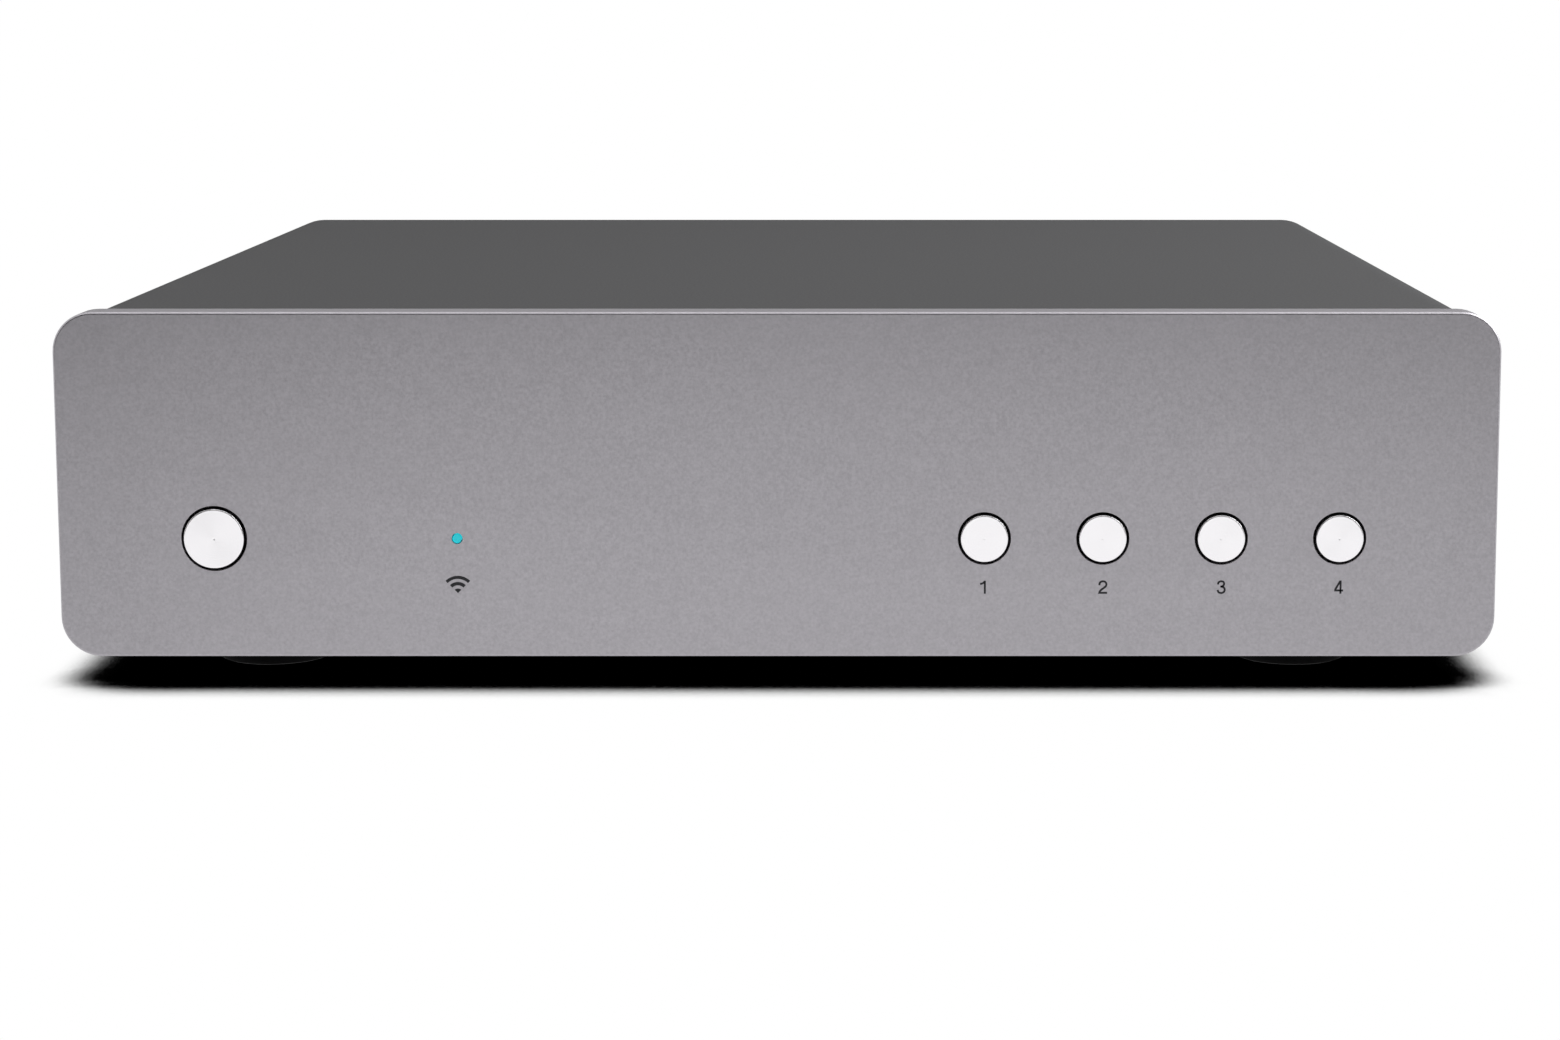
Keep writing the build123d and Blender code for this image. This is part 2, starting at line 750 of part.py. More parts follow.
# Rear panel, a plate inside the cover's back edge with a cut-out for each socket
rear_half_width = cover_half_width - cover_thickness - rear_edge_gap
rear_low_z = tray_bottom_z + rear_edge_gap
rear_high_z = cover_inner_top_z - rear_edge_gap
usb_mid_z = board_top_z + usb_lift + usb_height / 2
with BuildPart() as rear_panel:
    with BuildSketch(upright(rear_inner_y)):
        with Locations((0, (rear_low_z + rear_high_z) / 2)):
            RectangleRounded(
                2 * rear_half_width, rear_high_z - rear_low_z, cover_inner_radius - rear_edge_gap,
            )
    extrude(amount=rear_thickness, dir=BACK)
    with BuildSketch(upright(rear_inner_y)):
        with Locations((line_out_x, phono_low_z), (line_out_x, phono_high_z), (coax_x, phono_low_z)):
            RegularPolygon(phono_core_radius + phono_gap, panel_hole_sides, major_radius=False)
        with Locations((ethernet_x, board_top_z + ethernet_height / 2)):
            Rectangle(ethernet_width + 2 * cutout_gap, ethernet_height + 2 * cutout_gap)
        with Locations((usb_x, usb_mid_z)):
            Rectangle(
                usb_width + 2 * usb_lip + 2 * cutout_gap, usb_height + 2 * usb_lip + 2 * cutout_gap,
            )
        with Locations((optical_x, board_top_z + optical_height / 2)):
            Rectangle(optical_width + 2 * cutout_gap, optical_height + 2 * cutout_gap)
        with Locations(*[(place, antenna_z) for place in antenna_places]):
            RegularPolygon(antenna_base_radius + antenna_hole_gap, panel_hole_sides, major_radius=False)
        with Locations((inlet_x, inlet_z)):
            Rectangle(inlet_body_width + 2 * cutout_gap, inlet_body_height + 2 * cutout_gap)
        with Locations(*[(place, tab_screw_z) for place in tab_places]):
            RegularPolygon(screw_hole_radius, screw_sides)
        with Locations((-bracket_x, bracket_screw_z), (bracket_x, bracket_screw_z)):
            RegularPolygon(screw_hole_radius, screw_sides)
    extrude(amount=rear_thickness, dir=BACK, mode=Mode.SUBTRACT)
finish(rear_panel, "rear_panel")

# Feet, rubber rings whose screw head lies up inside. Their rounds are drawn with forty sides
foot_places = {
    "front_left": (-foot_x, foot_front_y), "front_right": (foot_x, foot_front_y),
    "rear_left": (-foot_x, foot_rear_y), "rear_right": (foot_x, foot_rear_y),
}
for foot_name, foot_place in foot_places.items():
    with BuildPart() as foot:
        with BuildSketch(level(0)):
            with Locations(foot_place):
                RegularPolygon(foot_radius, foot_sides)
                RegularPolygon(foot_recess_radius, round_sides, mode=Mode.SUBTRACT)
        extrude(amount=foot_recess_depth)
        with BuildSketch(level(foot_recess_depth)):
            with Locations(foot_place):
                RegularPolygon(foot_radius, foot_sides)
                RegularPolygon(screw_hole_radius, screw_sides, mode=Mode.SUBTRACT)
        extrude(amount=tray_bottom_z - foot_recess_depth)
    finish(foot, f"foot_{foot_name}")

with BuildPart() as foot_screws:
    for foot_place in foot_places.values():
        add(screw((*foot_place, foot_recess_depth), UP, screw_length))
finish(foot_screws, "foot_screws")

# Black screws that show: four under the cover's flanges and four in the rear panel
with BuildPart() as case_screws:
    for side in (-1, 1):
        for end in (-1, 1):
            seat = (side * cover_screw_x, end * cover_screw_pitch / 2, cover_bottom_z)
            add(screw(seat, UP, case_screw_length))
        add(screw((side * bracket_x, rear_outer_y, bracket_screw_z), -BACK, case_screw_length))
    for place in tab_places:
        add(screw((place, rear_outer_y, tab_screw_z), -BACK, case_screw_length))
finish(case_screws, "case_screws")

# Zinc screws inside: panel to wall, guides to wall, and boards to standoffs
with BuildPart() as inner_screws:
    for height in panel_screw_heights:
        for side in (-1, 1):
            seat = (side * panel_screw_x, wall_back_y, height)
            add(screw(seat, -BACK, tray_thickness + panel_screw_depth - screw_gap))
    for place in guide_screw_places:
        seat = (place, guide_back_y, button_z)
        add(screw(
            seat, -BACK, guide_back_y - panel_back_y, guide_screw_radius,
            guide_screw_head_radius, guide_screw_head_height,
        ))
    for place, height in front_standoff_places:
        add(screw((place, front_board_back_y, height), -BACK, screw_length))
    for place in main_standoff_places + psu_standoff_places:
        add(screw((*place, board_top_z), -UP, screw_length))
finish(inner_screws, "inner_screws")


def standoff_profile(places):
    """Hexagons with a threaded bore, at each place on the current sketch."""
    with Locations(*places):
        RegularPolygon(standoff_flats / 2, 6, major_radius=False)
        RegularPolygon(screw_hole_radius, screw_sides, mode=Mode.SUBTRACT)


with BuildPart() as board_standoffs:
    with BuildSketch(level(tray_floor_z)):
        standoff_profile(main_standoff_places + psu_standoff_places)
    extrude(amount=standoff_height)
    with BuildSketch(upright(wall_back_y)):
        standoff_profile(front_standoff_places)
    extrude(amount=front_board_y - wall_back_y, dir=BACK)
finish(board_standoffs, "board_standoffs")

# Main board, with its soldered chips, power header and mounting holes
processor_x = main_board_x + processor_place[0]
processor_y = main_board_y + processor_place[1]
header_x = main_board_x - main_board_width / 2 + header_side_gap + header_width / 2
header_y = main_board_y + header_place
with BuildPart() as main_board:
    with BuildSketch(level(board_bottom_z)):
        with Locations((main_board_x, main_board_y)):
            Rectangle(main_board_width, main_board_depth)
        with Locations(*main_standoff_places):
            RegularPolygon(screw_hole_radius, screw_sides, mode=Mode.SUBTRACT)
    extrude(amount=board_thickness)
    with BuildSketch(level(board_top_z)):
        with Locations((processor_x, processor_y)):
            Rectangle(processor_size, processor_size)
        with Locations((main_board_x + converter_place[0], main_board_y + converter_place[1])):
            Rectangle(converter_size, converter_size)
    extrude(amount=chip_thickness)
    with BuildSketch(level(board_top_z)):
        with Locations((header_x, header_y)):
            Rectangle(header_width, header_depth)
    extrude(amount=header_height)
finish(main_board, "main_board")

# Heatsink on the processor, an extrusion with upright fins
with BuildPart() as processor_heatsink:
    heatsink_z = board_top_z + chip_thickness
    with BuildSketch(level(heatsink_z)):
        with Locations((processor_x, processor_y)):
            Rectangle(heatsink_size, heatsink_size)
    extrude(amount=heatsink_base)
    fin_pitch = (heatsink_size - heatsink_fin_thickness) / (heatsink_fin_count - 1)
    with BuildSketch(level(heatsink_z + heatsink_base)):
        with Locations((processor_x, processor_y)):
            with GridLocations(fin_pitch, 0, heatsink_fin_count, 1):
                Rectangle(heatsink_fin_thickness, heatsink_size)
    extrude(amount=heatsink_fin_height)
finish(processor_heatsink, "processor_heatsink")

# Network module, a small board on two connector strips with two antenna ports
module_x = main_board_x + module_place[0]
module_y = main_board_y + module_place[1]
module_z = board_top_z + module_lift
module_top_z = module_z + module_thickness
module_port_y = module_y + module_depth / 2 - module_port_edge
module_port_places = [module_x - module_port_spacing / 2, module_x + module_port_spacing / 2]
strip_offset = module_depth / 2 - module_strip_width / 2
with BuildPart() as network_module:
    with BuildSketch(level(board_top_z)):
        with Locations((module_x, module_y - strip_offset), (module_x, module_y + strip_offset)):
            Rectangle(module_strip_length, module_strip_width)
    extrude(amount=module_lift)
    with BuildSketch(level(module_z)):
        with Locations((module_x, module_y)):
            Rectangle(module_width, module_depth)
    extrude(amount=module_thickness)
    with BuildSketch(level(module_top_z)):
        with Locations(*[(place, module_port_y) for place in module_port_places]):
            Rectangle(module_port_size, module_port_size)
    extrude(amount=module_port_height)
finish(network_module, "network_module")

with BuildPart() as network_shield:
    with BuildSketch(level(module_top_z)):
        with Locations((module_x, module_y - shield_setback)):
            Rectangle(shield_width, shield_depth)
    extrude(amount=shield_height)
    offset(amount=-shield_wall, openings=network_shield.faces().sort_by(Axis.Z)[0])
finish(network_shield, "network_shield")

# Ribbon sockets, one on the back of the front board and one on the main board
ribbon_front_z = board_top_z + ribbon_rise
ribbon_back_y = main_board_front_y + ribbon_socket_depth
with BuildPart() as ribbon_sockets:
    with BuildSketch(upright(front_board_back_y)):
        with Locations((ribbon_x, ribbon_front_z)):
            Rectangle(ribbon_socket_width, ribbon_socket_depth)
    extrude(amount=ribbon_socket_height, dir=BACK)
    with BuildSketch(level(board_top_z)):
        with Locations((ribbon_x, ribbon_back_y)):
            Rectangle(ribbon_socket_width, ribbon_socket_depth)
    extrude(amount=ribbon_socket_height)
finish(ribbon_sockets, "ribbon_sockets")

# Ribbon cable, a flat strip that leaves the front socket backwards and drops into the other
with BuildPart() as ribbon_cable:
    ribbon_start = Vector(ribbon_x, front_board_back_y + ribbon_socket_height, ribbon_front_z)
    ribbon_end = Vector(ribbon_x, ribbon_back_y, board_top_z + ribbon_socket_height)
    with BuildLine() as ribbon_route:
        FilletPolyline(
            ribbon_start, (ribbon_x, ribbon_back_y, ribbon_front_z), ribbon_end,
            radius=ribbon_bend,
        )
    with BuildSketch(Plane(origin=ribbon_start, x_dir=RIGHT, z_dir=BACK)):
        Rectangle(ribbon_width, ribbon_thickness)
    sweep(path=ribbon_route.line)
finish(ribbon_cable, "ribbon_cable")


def phono_body(x, heights):
    """A moulded block behind the panel, with a core and a centre bore for each phono socket."""
    block_top_z = heights[-1] + phono_body_top
    core_end_y = socket_end_y - phono_core_recess
    with BuildPart() as body:
        with BuildSketch(upright(rear_inner_y)):
            with Locations((x, (board_top_z + block_top_z) / 2)):
                Rectangle(phono_body_width, block_top_z - board_top_z)
        extrude(amount=-phono_body_depth, dir=BACK)
        with BuildSketch(upright(rear_inner_y)):
            with Locations(*[(x, z) for z in heights]):
                RegularPolygon(phono_core_radius, round_sides)
        extrude(amount=core_end_y - rear_inner_y, dir=BACK)
        with BuildSketch(upright(core_end_y)):
            with Locations(*[(x, z) for z in heights]):
                RegularPolygon(phono_bore_radius, round_sides)
        extrude(amount=-phono_bore_depth, dir=BACK, mode=Mode.SUBTRACT)
    return body


def phono_shell(x, z):
    """The plated barrel round a core, seated on the rear panel, which the plug's collar grips."""
    with BuildPart() as shell:
        with BuildSketch(upright(rear_outer_y)):
            with Locations((x, z)):
                Circle(phono_radius)
                RegularPolygon(phono_radius - phono_wall, round_sides, major_radius=False, mode=Mode.SUBTRACT)
        extrude(amount=socket_reach, dir=BACK)
    return shell


finish(phono_body(line_out_x, (phono_low_z, phono_high_z)), "line_out_body")
finish(phono_shell(line_out_x, phono_high_z), "line_out_left_shell")
finish(phono_shell(line_out_x, phono_low_z), "line_out_right_shell")
finish(phono_body(coax_x, (phono_low_z,)), "coax_out_body")
finish(phono_shell(coax_x, phono_low_z), "coax_out_shell")

# Ethernet jack, with the stepped notch for the plug's latch at the top of its mouth
ethernet_mouth_z = board_top_z + ethernet_floor
latch_z = ethernet_mouth_z + ethernet_mouth_height
with BuildPart() as ethernet_jack:
    with BuildSketch(upright(jack_face_y)):
        with Locations((ethernet_x, board_top_z + ethernet_height / 2)):
            Rectangle(ethernet_width, ethernet_height)
    extrude(amount=-ethernet_depth, dir=BACK)
    with BuildSketch(upright(jack_face_y)):
        with Locations((ethernet_x, ethernet_mouth_z + ethernet_mouth_height / 2)):
            Rectangle(ethernet_mouth_width, ethernet_mouth_height)
        with Locations((ethernet_x, latch_z + latch_height / 2)):
            Rectangle(latch_width, latch_height)
        with Locations((ethernet_x, latch_z + latch_height + latch_tip_height / 2)):
            Rectangle(latch_tip_width, latch_tip_height)
    extrude(amount=-ethernet_mouth_depth, dir=BACK, mode=Mode.SUBTRACT)
finish(ethernet_jack, "ethernet_jack")

# USB jack, a folded shell with a lip round its mouth, and the tongue that carries the contacts
with BuildPart() as usb_jack:
    with BuildSketch(upright(jack_face_y)):
        with Locations((usb_x, usb_mid_z)):
            Rectangle(usb_width, usb_height)
    extrude(amount=-usb_depth, dir=BACK)
    with BuildSketch(upright(jack_face_y)):
        with Locations((usb_x, usb_mid_z)):
            Rectangle(usb_width + 2 * usb_lip, usb_height + 2 * usb_lip)
    extrude(amount=-usb_lip_depth, dir=BACK)
    with BuildSketch(upright(jack_face_y - usb_depth)):
        with Locations((usb_x, board_top_z + usb_lift)):
            Rectangle(usb_width, 2 * usb_lift)
    extrude(amount=usb_block_depth, dir=BACK)
    with BuildSketch(upright(jack_face_y)):
        with Locations((usb_x, usb_mid_z)):
            Rectangle(usb_width - 2 * usb_wall, usb_height - 2 * usb_wall)
    extrude(amount=-usb_depth, dir=BACK, mode=Mode.SUBTRACT)
finish(usb_jack, "usb_jack")

with BuildPart() as usb_tongue:
    usb_back_y = jack_face_y - usb_depth
    with BuildSketch(upright(usb_back_y)):
        with Locations((usb_x, usb_mid_z)):
            Rectangle(usb_width - 2 * usb_wall - 2 * usb_fit, usb_height - 2 * usb_wall - 2 * usb_fit)
    extrude(amount=usb_block_depth, dir=BACK)
    with BuildSketch(upright(usb_back_y + usb_block_depth)):
        with Locations((usb_x, usb_mid_z + usb_tongue_drop)):
            Rectangle(usb_tongue_width, usb_tongue_thickness)
    extrude(amount=usb_depth - usb_block_depth - usb_tongue_recess, dir=BACK)
finish(usb_tongue, "usb_tongue")

# Optical jack: the mouth has two cut corners, and a shutter hangs inside it from two small pins
optical_mouth_low_z = board_top_z + optical_floor
optical_mouth_high_z = optical_mouth_low_z + optical_mouth
shutter_axis_y = jack_face_y - shutter_setback - shutter_thickness / 2
shutter_axis_z = optical_mouth_high_z - shutter_axis_drop
with BuildPart() as optical_jack:
    with BuildSketch(upright(jack_face_y)):
        with Locations((optical_x, board_top_z + optical_height / 2)):
            Rectangle(optical_width, optical_height)
    extrude(amount=-optical_depth, dir=BACK)
    with BuildSketch(upright(jack_face_y)) as mouth_profile:
        with Locations((optical_x, (optical_mouth_low_z + optical_mouth_high_z) / 2)):
            Rectangle(optical_mouth, optical_mouth)
        chamfer(mouth_profile.vertices().group_by(Axis.Y)[0], optical_mouth_chamfer)
    extrude(amount=-optical_mouth_depth, dir=BACK, mode=Mode.SUBTRACT)
    with BuildSketch(Plane.YZ.offset(optical_x)):
        with Locations((shutter_axis_y, shutter_axis_z)):
            RegularPolygon(shutter_pin_radius + shutter_pin_gap, round_sides)
    extrude(amount=optical_mouth / 2 + shutter_pin_length, both=True, mode=Mode.SUBTRACT)
finish(optical_jack, "optical_jack")

with BuildPart() as optical_shutter:
    flap_low_z = optical_mouth_low_z + shutter_gap
    flap_height = shutter_axis_z + shutter_thickness / 2 - flap_low_z
    with BuildSketch(upright(shutter_axis_y + shutter_thickness / 2)) as flap_profile:
        with Locations((optical_x, flap_low_z + flap_height / 2)):
            Rectangle(optical_mouth - 2 * shutter_gap, flap_height)
        chamfer(flap_profile.vertices().group_by(Axis.Y)[0], optical_mouth_chamfer)
    extrude(amount=-shutter_thickness, dir=BACK)
    with BuildSketch(Plane.YZ.offset(optical_x)):
        with Locations((shutter_axis_y, shutter_axis_z)):
            RegularPolygon(shutter_pin_radius, round_sides)
    extrude(amount=optical_mouth / 2 + shutter_pin_length - shutter_pin_gap, both=True)
finish(optical_shutter, "optical_shutter")

# Antenna sockets, threaded barrels held by a nut outside and a flange inside
base_end_y = rear_outer_y + antenna_nut_thickness + antenna_shoulder
antenna_back_y = rear_inner_y - antenna_flange_thickness
bore_floor_y = socket_end_y - antenna_bore_depth
for side_name, place in zip(("left", "right"), antenna_places):
    with BuildPart() as antenna_socket:
        with BuildSketch(upright(rear_inner_y)):
            with Locations((place, antenna_z)):
                RegularPolygon(antenna_flange_flats / 2, 6, major_radius=False)
        extrude(amount=-antenna_flange_thickness, dir=BACK)
        outline = stepped(
            (rear_inner_y, base_end_y, antenna_base_radius),
            (base_end_y, socket_end_y, antenna_radius),
        )
        add(turned((place, 0, antenna_z), BACK, outline))
        with BuildSketch(upright(socket_end_y)):
            with Locations((place, antenna_z)):
                RegularPolygon(antenna_bore_radius, round_sides)
        extrude(amount=-antenna_bore_depth, dir=BACK, mode=Mode.SUBTRACT)
        with BuildSketch(upright(bore_floor_y)):
            with Locations((place, antenna_z)):
                Rectangle(antenna_contact_size, antenna_contact_size)
        extrude(amount=antenna_contact_length, dir=BACK)
    finish(antenna_socket, f"antenna_socket_{side_name}")

with BuildPart() as antenna_nuts:
    with BuildSketch(upright(rear_outer_y)):
        with Locations(*[(place, antenna_z) for place in antenna_places]):
            RegularPolygon(antenna_nut_flats / 2, 6, major_radius=False)
            RegularPolygon(
                antenna_base_radius + antenna_nut_gap, round_sides, major_radius=False, mode=Mode.SUBTRACT,
            )
    extrude(amount=antenna_nut_thickness, dir=BACK)
finish(antenna_nuts, "antenna_nuts")

# Pigtails, thin coaxial leads from the antenna sockets down to the network module
with BuildPart() as antenna_pigtails:
    for place, port_x in zip(antenna_places, module_port_places):
        start = Vector(place, antenna_back_y, antenna_z)
        port_top_z = module_top_z + module_port_height
        with BuildLine() as pigtail_route:
            FilletPolyline(
                start, (place, start.Y - pigtail_run, antenna_z), (port_x, module_port_y, antenna_z),
                (port_x, module_port_y, port_top_z), radius=pigtail_bend,
            )
        with BuildSketch(Plane(origin=start, x_dir=RIGHT, z_dir=-BACK)):
            Rectangle(pigtail_size, pigtail_size)
        sweep(path=pigtail_route.line)
finish(antenna_pigtails, "antenna_pigtails")

# Mains inlet, snapped into the rear panel from outside
inlet_face_y = rear_outer_y + inlet_bezel_thickness
with BuildPart() as mains_inlet:
    with BuildSketch(upright(inlet_face_y)) as bezel_profile:
        with Locations((inlet_x, inlet_z)):
            Rectangle(inlet_bezel_width, inlet_bezel_height)
        chamfer(bezel_profile.vertices(), inlet_bezel_chamfer)
    extrude(amount=-inlet_bezel_thickness, dir=BACK)
    with BuildSketch(upright(rear_outer_y)):
        with Locations((inlet_x, inlet_z)):
            Rectangle(inlet_body_width, inlet_body_height)
    extrude(amount=-inlet_body_depth, dir=BACK)
    clip_y = rear_inner_y - inlet_clip_gap
    for side in (-1, 1):
        inlet_side_z = inlet_z + side * inlet_body_height / 2
        with BuildSketch(Plane.YZ.offset(inlet_x)):
            with BuildLine():
                Polyline(
                    (clip_y, inlet_side_z), (clip_y, inlet_side_z + side * inlet_clip_height),
                    (clip_y - inlet_clip_length, inlet_side_z), close=True,
                )
            make_face()
        extrude(amount=inlet_clip_width / 2, both=True)
    with BuildSketch(upright(inlet_face_y)):
        with Locations((inlet_x, inlet_z)):
            with GridLocations(inlet_lobe_spacing, 0, 2, 1):
                Circle(inlet_lobe_radius)
        with Locations((inlet_x, inlet_z)):
            Rectangle(inlet_lobe_spacing, inlet_waist_height)
    extrude(amount=-inlet_recess_depth, dir=BACK, mode=Mode.SUBTRACT)
    with BuildSketch(upright(inlet_back_y)):
        with Locations((inlet_x - pin_spacing / 2, inlet_z), (inlet_x + pin_spacing / 2, inlet_z)):
            Rectangle(lug_thickness + 2 * pin_fit, lug_width + 2 * pin_fit)
    extrude(amount=inlet_body_depth, dir=BACK, mode=Mode.SUBTRACT)
finish(mains_inlet, "mains_inlet")

with BuildPart() as inlet_pins:
    inlet_floor_y = inlet_face_y - inlet_recess_depth
    for side in (-1, 1):
        pin_x = inlet_x + side * pin_spacing / 2
        with BuildSketch(upright(inlet_floor_y)):
            with Locations((pin_x, inlet_z)):
                RegularPolygon(pin_radius, round_sides)
        extrude(amount=inlet_recess_depth - pin_recess, dir=BACK)
        with BuildSketch(upright(inlet_floor_y)):
            with Locations((pin_x, inlet_z)):
                Rectangle(lug_thickness, lug_width)
        extrude(amount=lug_end_y - inlet_floor_y, dir=BACK)
finish(inlet_pins, "inlet_pins")

# Supply board with its mains terminal and output header
terminal_y = psu_board_y + psu_board_depth / 2 - terminal_depth / 2
psu_header_x = psu_board_x + psu_board_width / 2 - header_side_gap - header_width / 2
with BuildPart() as psu_board:
    with BuildSketch(level(board_bottom_z)):
        with Locations((psu_board_x, psu_board_y)):
            Rectangle(psu_board_width, psu_board_depth)
        with Locations(*psu_standoff_places):
            RegularPolygon(screw_hole_radius, screw_sides, mode=Mode.SUBTRACT)
    extrude(amount=board_thickness)
    with BuildSketch(level(board_top_z)):
        with Locations((inlet_x, terminal_y)):
            Rectangle(terminal_width, terminal_depth)
    extrude(amount=terminal_height)
    with BuildSketch(level(board_top_z)):
        with Locations((psu_header_x, header_y)):
            Rectangle(header_width, header_depth)
    extrude(amount=header_height)
finish(psu_board, "psu_board")

# Transformer: a bobbin base, a wound coil and a ferrite frame round it
transformer_x = psu_board_x + transformer_place[0]
transformer_y = psu_board_y + transformer_place[1]
transformer_z = board_top_z + transformer_base_height
with BuildPart() as psu_transformer:
    with BuildSketch(level(board_top_z)):
        with Locations((transformer_x, transformer_y)):
            Rectangle(transformer_base_size, transformer_base_size)
    extrude(amount=transformer_base_height)
    with BuildSketch(level(transformer_z)):
        with Locations((transformer_x, transformer_y)):
            RegularPolygon(transformer_coil_radius, round_sides)
    coil_height = transformer_core_height - transformer_core_wall - transformer_coil_gap
    extrude(amount=coil_height)
    with BuildSketch(upright(transformer_y)):
        with Locations((transformer_x, transformer_z + transformer_core_height / 2)):
            Rectangle(transformer_core_width, transformer_core_height)
    extrude(amount=transformer_core_depth / 2, both=True)
finish(psu_transformer, "psu_transformer")

with BuildPart() as psu_capacitors:
    bulk_x = psu_board_x + bulk_capacitor_offset
    bulk_y = psu_board_y + psu_board_depth / 2 - bulk_capacitor_rear_inset
    output_x = psu_board_x + output_capacitor_offset
    output_y = psu_board_y - psu_board_depth / 2 + output_capacitor_front_inset
    with BuildSketch(level(board_top_z)):
        with Locations((bulk_x, bulk_y)):
            RegularPolygon(bulk_capacitor_radius, round_sides)
    extrude(amount=bulk_capacitor_height)
    with BuildSketch(level(board_top_z)):
        with Locations((output_x, output_y)):
            with GridLocations(output_capacitor_pitch, 0, output_capacitor_count, 1):
                RegularPolygon(output_capacitor_radius, round_sides)
    extrude(amount=output_capacitor_height)
finish(psu_capacitors, "psu_capacitors")

# Insulation sheet on the tray under the supply board, holed for its standoffs
with BuildPart() as psu_insulation_sheet:
    with BuildSketch(level(tray_floor_z)):
        with Locations((psu_board_x, psu_board_y)):
            Rectangle(psu_board_width, psu_board_depth)
        with Locations(*psu_standoff_places):
            RegularPolygon(
                standoff_flats / 2 + insulation_gap, 6, major_radius=False, mode=Mode.SUBTRACT,
            )
    extrude(amount=insulation_thickness)
finish(psu_insulation_sheet, "psu_insulation_sheet")

# Leads: two from the inlet's lugs to the mains terminal, and a flat one from supply to main board
with BuildPart() as internal_leads:
    terminal_back_y = terminal_y + terminal_depth / 2
    terminal_z = board_top_z + terminal_height / 2
    half_run = (lug_end_y - terminal_back_y) / 2
    for side in (-1, 1):
        lead_x = inlet_x + side * pin_spacing / 2
        start = Vector(lead_x, lug_end_y, inlet_z)
        with BuildLine() as mains_route:
            FilletPolyline(
                start, (lead_x, lug_end_y - half_run / 2, inlet_z),
                (lead_x, terminal_back_y + half_run / 2, terminal_z),
                (lead_x, terminal_back_y, terminal_z),
                radius=mains_lead_bend,
            )
        with BuildSketch(Plane(origin=start, x_dir=RIGHT, z_dir=-BACK)):
            Rectangle(lead_size, lead_size)
        sweep(path=mains_route.line)
    header_top_z = board_top_z + header_height
    start = Vector(psu_header_x, header_y, header_top_z)
    with BuildLine() as supply_route:
        FilletPolyline(
            start, (psu_header_x, header_y, header_top_z + lead_rise),
            (header_x, header_y, header_top_z + lead_rise), (header_x, header_y, header_top_z),
            radius=lead_bend,
        )
    with BuildSketch(Plane(origin=start, x_dir=RIGHT, z_dir=UP)):
        Rectangle(lead_size, flat_lead_width)
    sweep(path=supply_route.line)
finish(internal_leads, "internal_leads")
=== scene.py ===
"""The finished looks of a network music streamer, built round its fixed frame.

Lengths are in metres. X runs to the right as seen from the front, Y to the back and Z up.
"""

import json
import math

import bmesh
import bpy
from bpy.props import FloatProperty, FloatVectorProperty, PointerProperty
from mathutils import Matrix, Vector

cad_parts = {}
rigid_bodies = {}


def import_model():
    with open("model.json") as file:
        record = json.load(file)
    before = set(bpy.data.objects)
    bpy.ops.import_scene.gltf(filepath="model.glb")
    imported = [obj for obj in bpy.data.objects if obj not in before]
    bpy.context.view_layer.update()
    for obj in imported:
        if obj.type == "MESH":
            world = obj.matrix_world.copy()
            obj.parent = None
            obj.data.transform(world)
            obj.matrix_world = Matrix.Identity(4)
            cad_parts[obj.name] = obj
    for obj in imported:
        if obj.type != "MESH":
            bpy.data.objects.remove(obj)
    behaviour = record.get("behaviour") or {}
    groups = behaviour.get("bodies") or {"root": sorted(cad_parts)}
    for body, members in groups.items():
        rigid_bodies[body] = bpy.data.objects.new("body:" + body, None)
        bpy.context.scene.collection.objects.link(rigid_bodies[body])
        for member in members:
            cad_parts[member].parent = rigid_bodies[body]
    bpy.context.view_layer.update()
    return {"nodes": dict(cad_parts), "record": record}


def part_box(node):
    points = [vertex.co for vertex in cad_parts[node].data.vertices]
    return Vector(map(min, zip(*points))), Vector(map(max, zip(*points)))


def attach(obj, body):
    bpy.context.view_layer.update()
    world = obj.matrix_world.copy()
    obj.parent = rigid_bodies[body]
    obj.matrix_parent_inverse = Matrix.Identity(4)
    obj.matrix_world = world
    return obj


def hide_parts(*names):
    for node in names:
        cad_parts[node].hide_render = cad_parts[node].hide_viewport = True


bl_info = {
    "name": "Network Music Streamer",
    "version": (1, 0, 0),
    "blender": (4, 5, 0),
    "location": "3D View > Sidebar > Streamer",
    "description": "Finishes a network music streamer round its fixed frame",
    "category": "Object",
}

for left_over in list(bpy.data.objects):
    bpy.data.objects.remove(left_over)
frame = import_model()

MM = 0.001
BODY_OF = {
    node: body for body, nodes in frame["record"]["behaviour"]["bodies"].items() for node in nodes
}
SLOT_OF = {node: shape.data.materials[0].name for node, shape in frame["nodes"].items()}
PRESET_NUMBERS = (1, 2, 3, 4)
BUTTONS = ["power_button", *[f"preset_button_{number}" for number in PRESET_NUMBERS]]


def middle(node):
    """The middle of a node's box."""
    low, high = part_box(node)
    return (low + high) / 2


def linear(code):
    """An sRGB hex colour as linear red, green, blue and alpha."""
    channels = [int(code[place:place + 2], 16) / 255 for place in (1, 3, 5)]
    return (*[c / 12.92 if c <= 0.04045 else ((c + 0.055) / 1.055) ** 2.4 for c in channels], 1.0)


def tuned(colour, factor):
    """A colour made lighter or darker by a factor."""
    return (*[min(channel * factor, 1.0) for channel in colour[:3]], 1.0)


def colour_choice(name, description, code):
    """A colour that the sidebar shows, with its default as sRGB hex."""
    return FloatVectorProperty(
        name=name, description=description, default=linear(code), subtype="COLOR", size=4, min=0, max=1,
    )


def length_choice(name, description, millimetres):
    """A length that the sidebar shows, with its default in millimetres."""
    return FloatProperty(
        name=name, description=description, default=millimetres * MM, unit="LENGTH", subtype="DISTANCE",
        precision=5,
    )


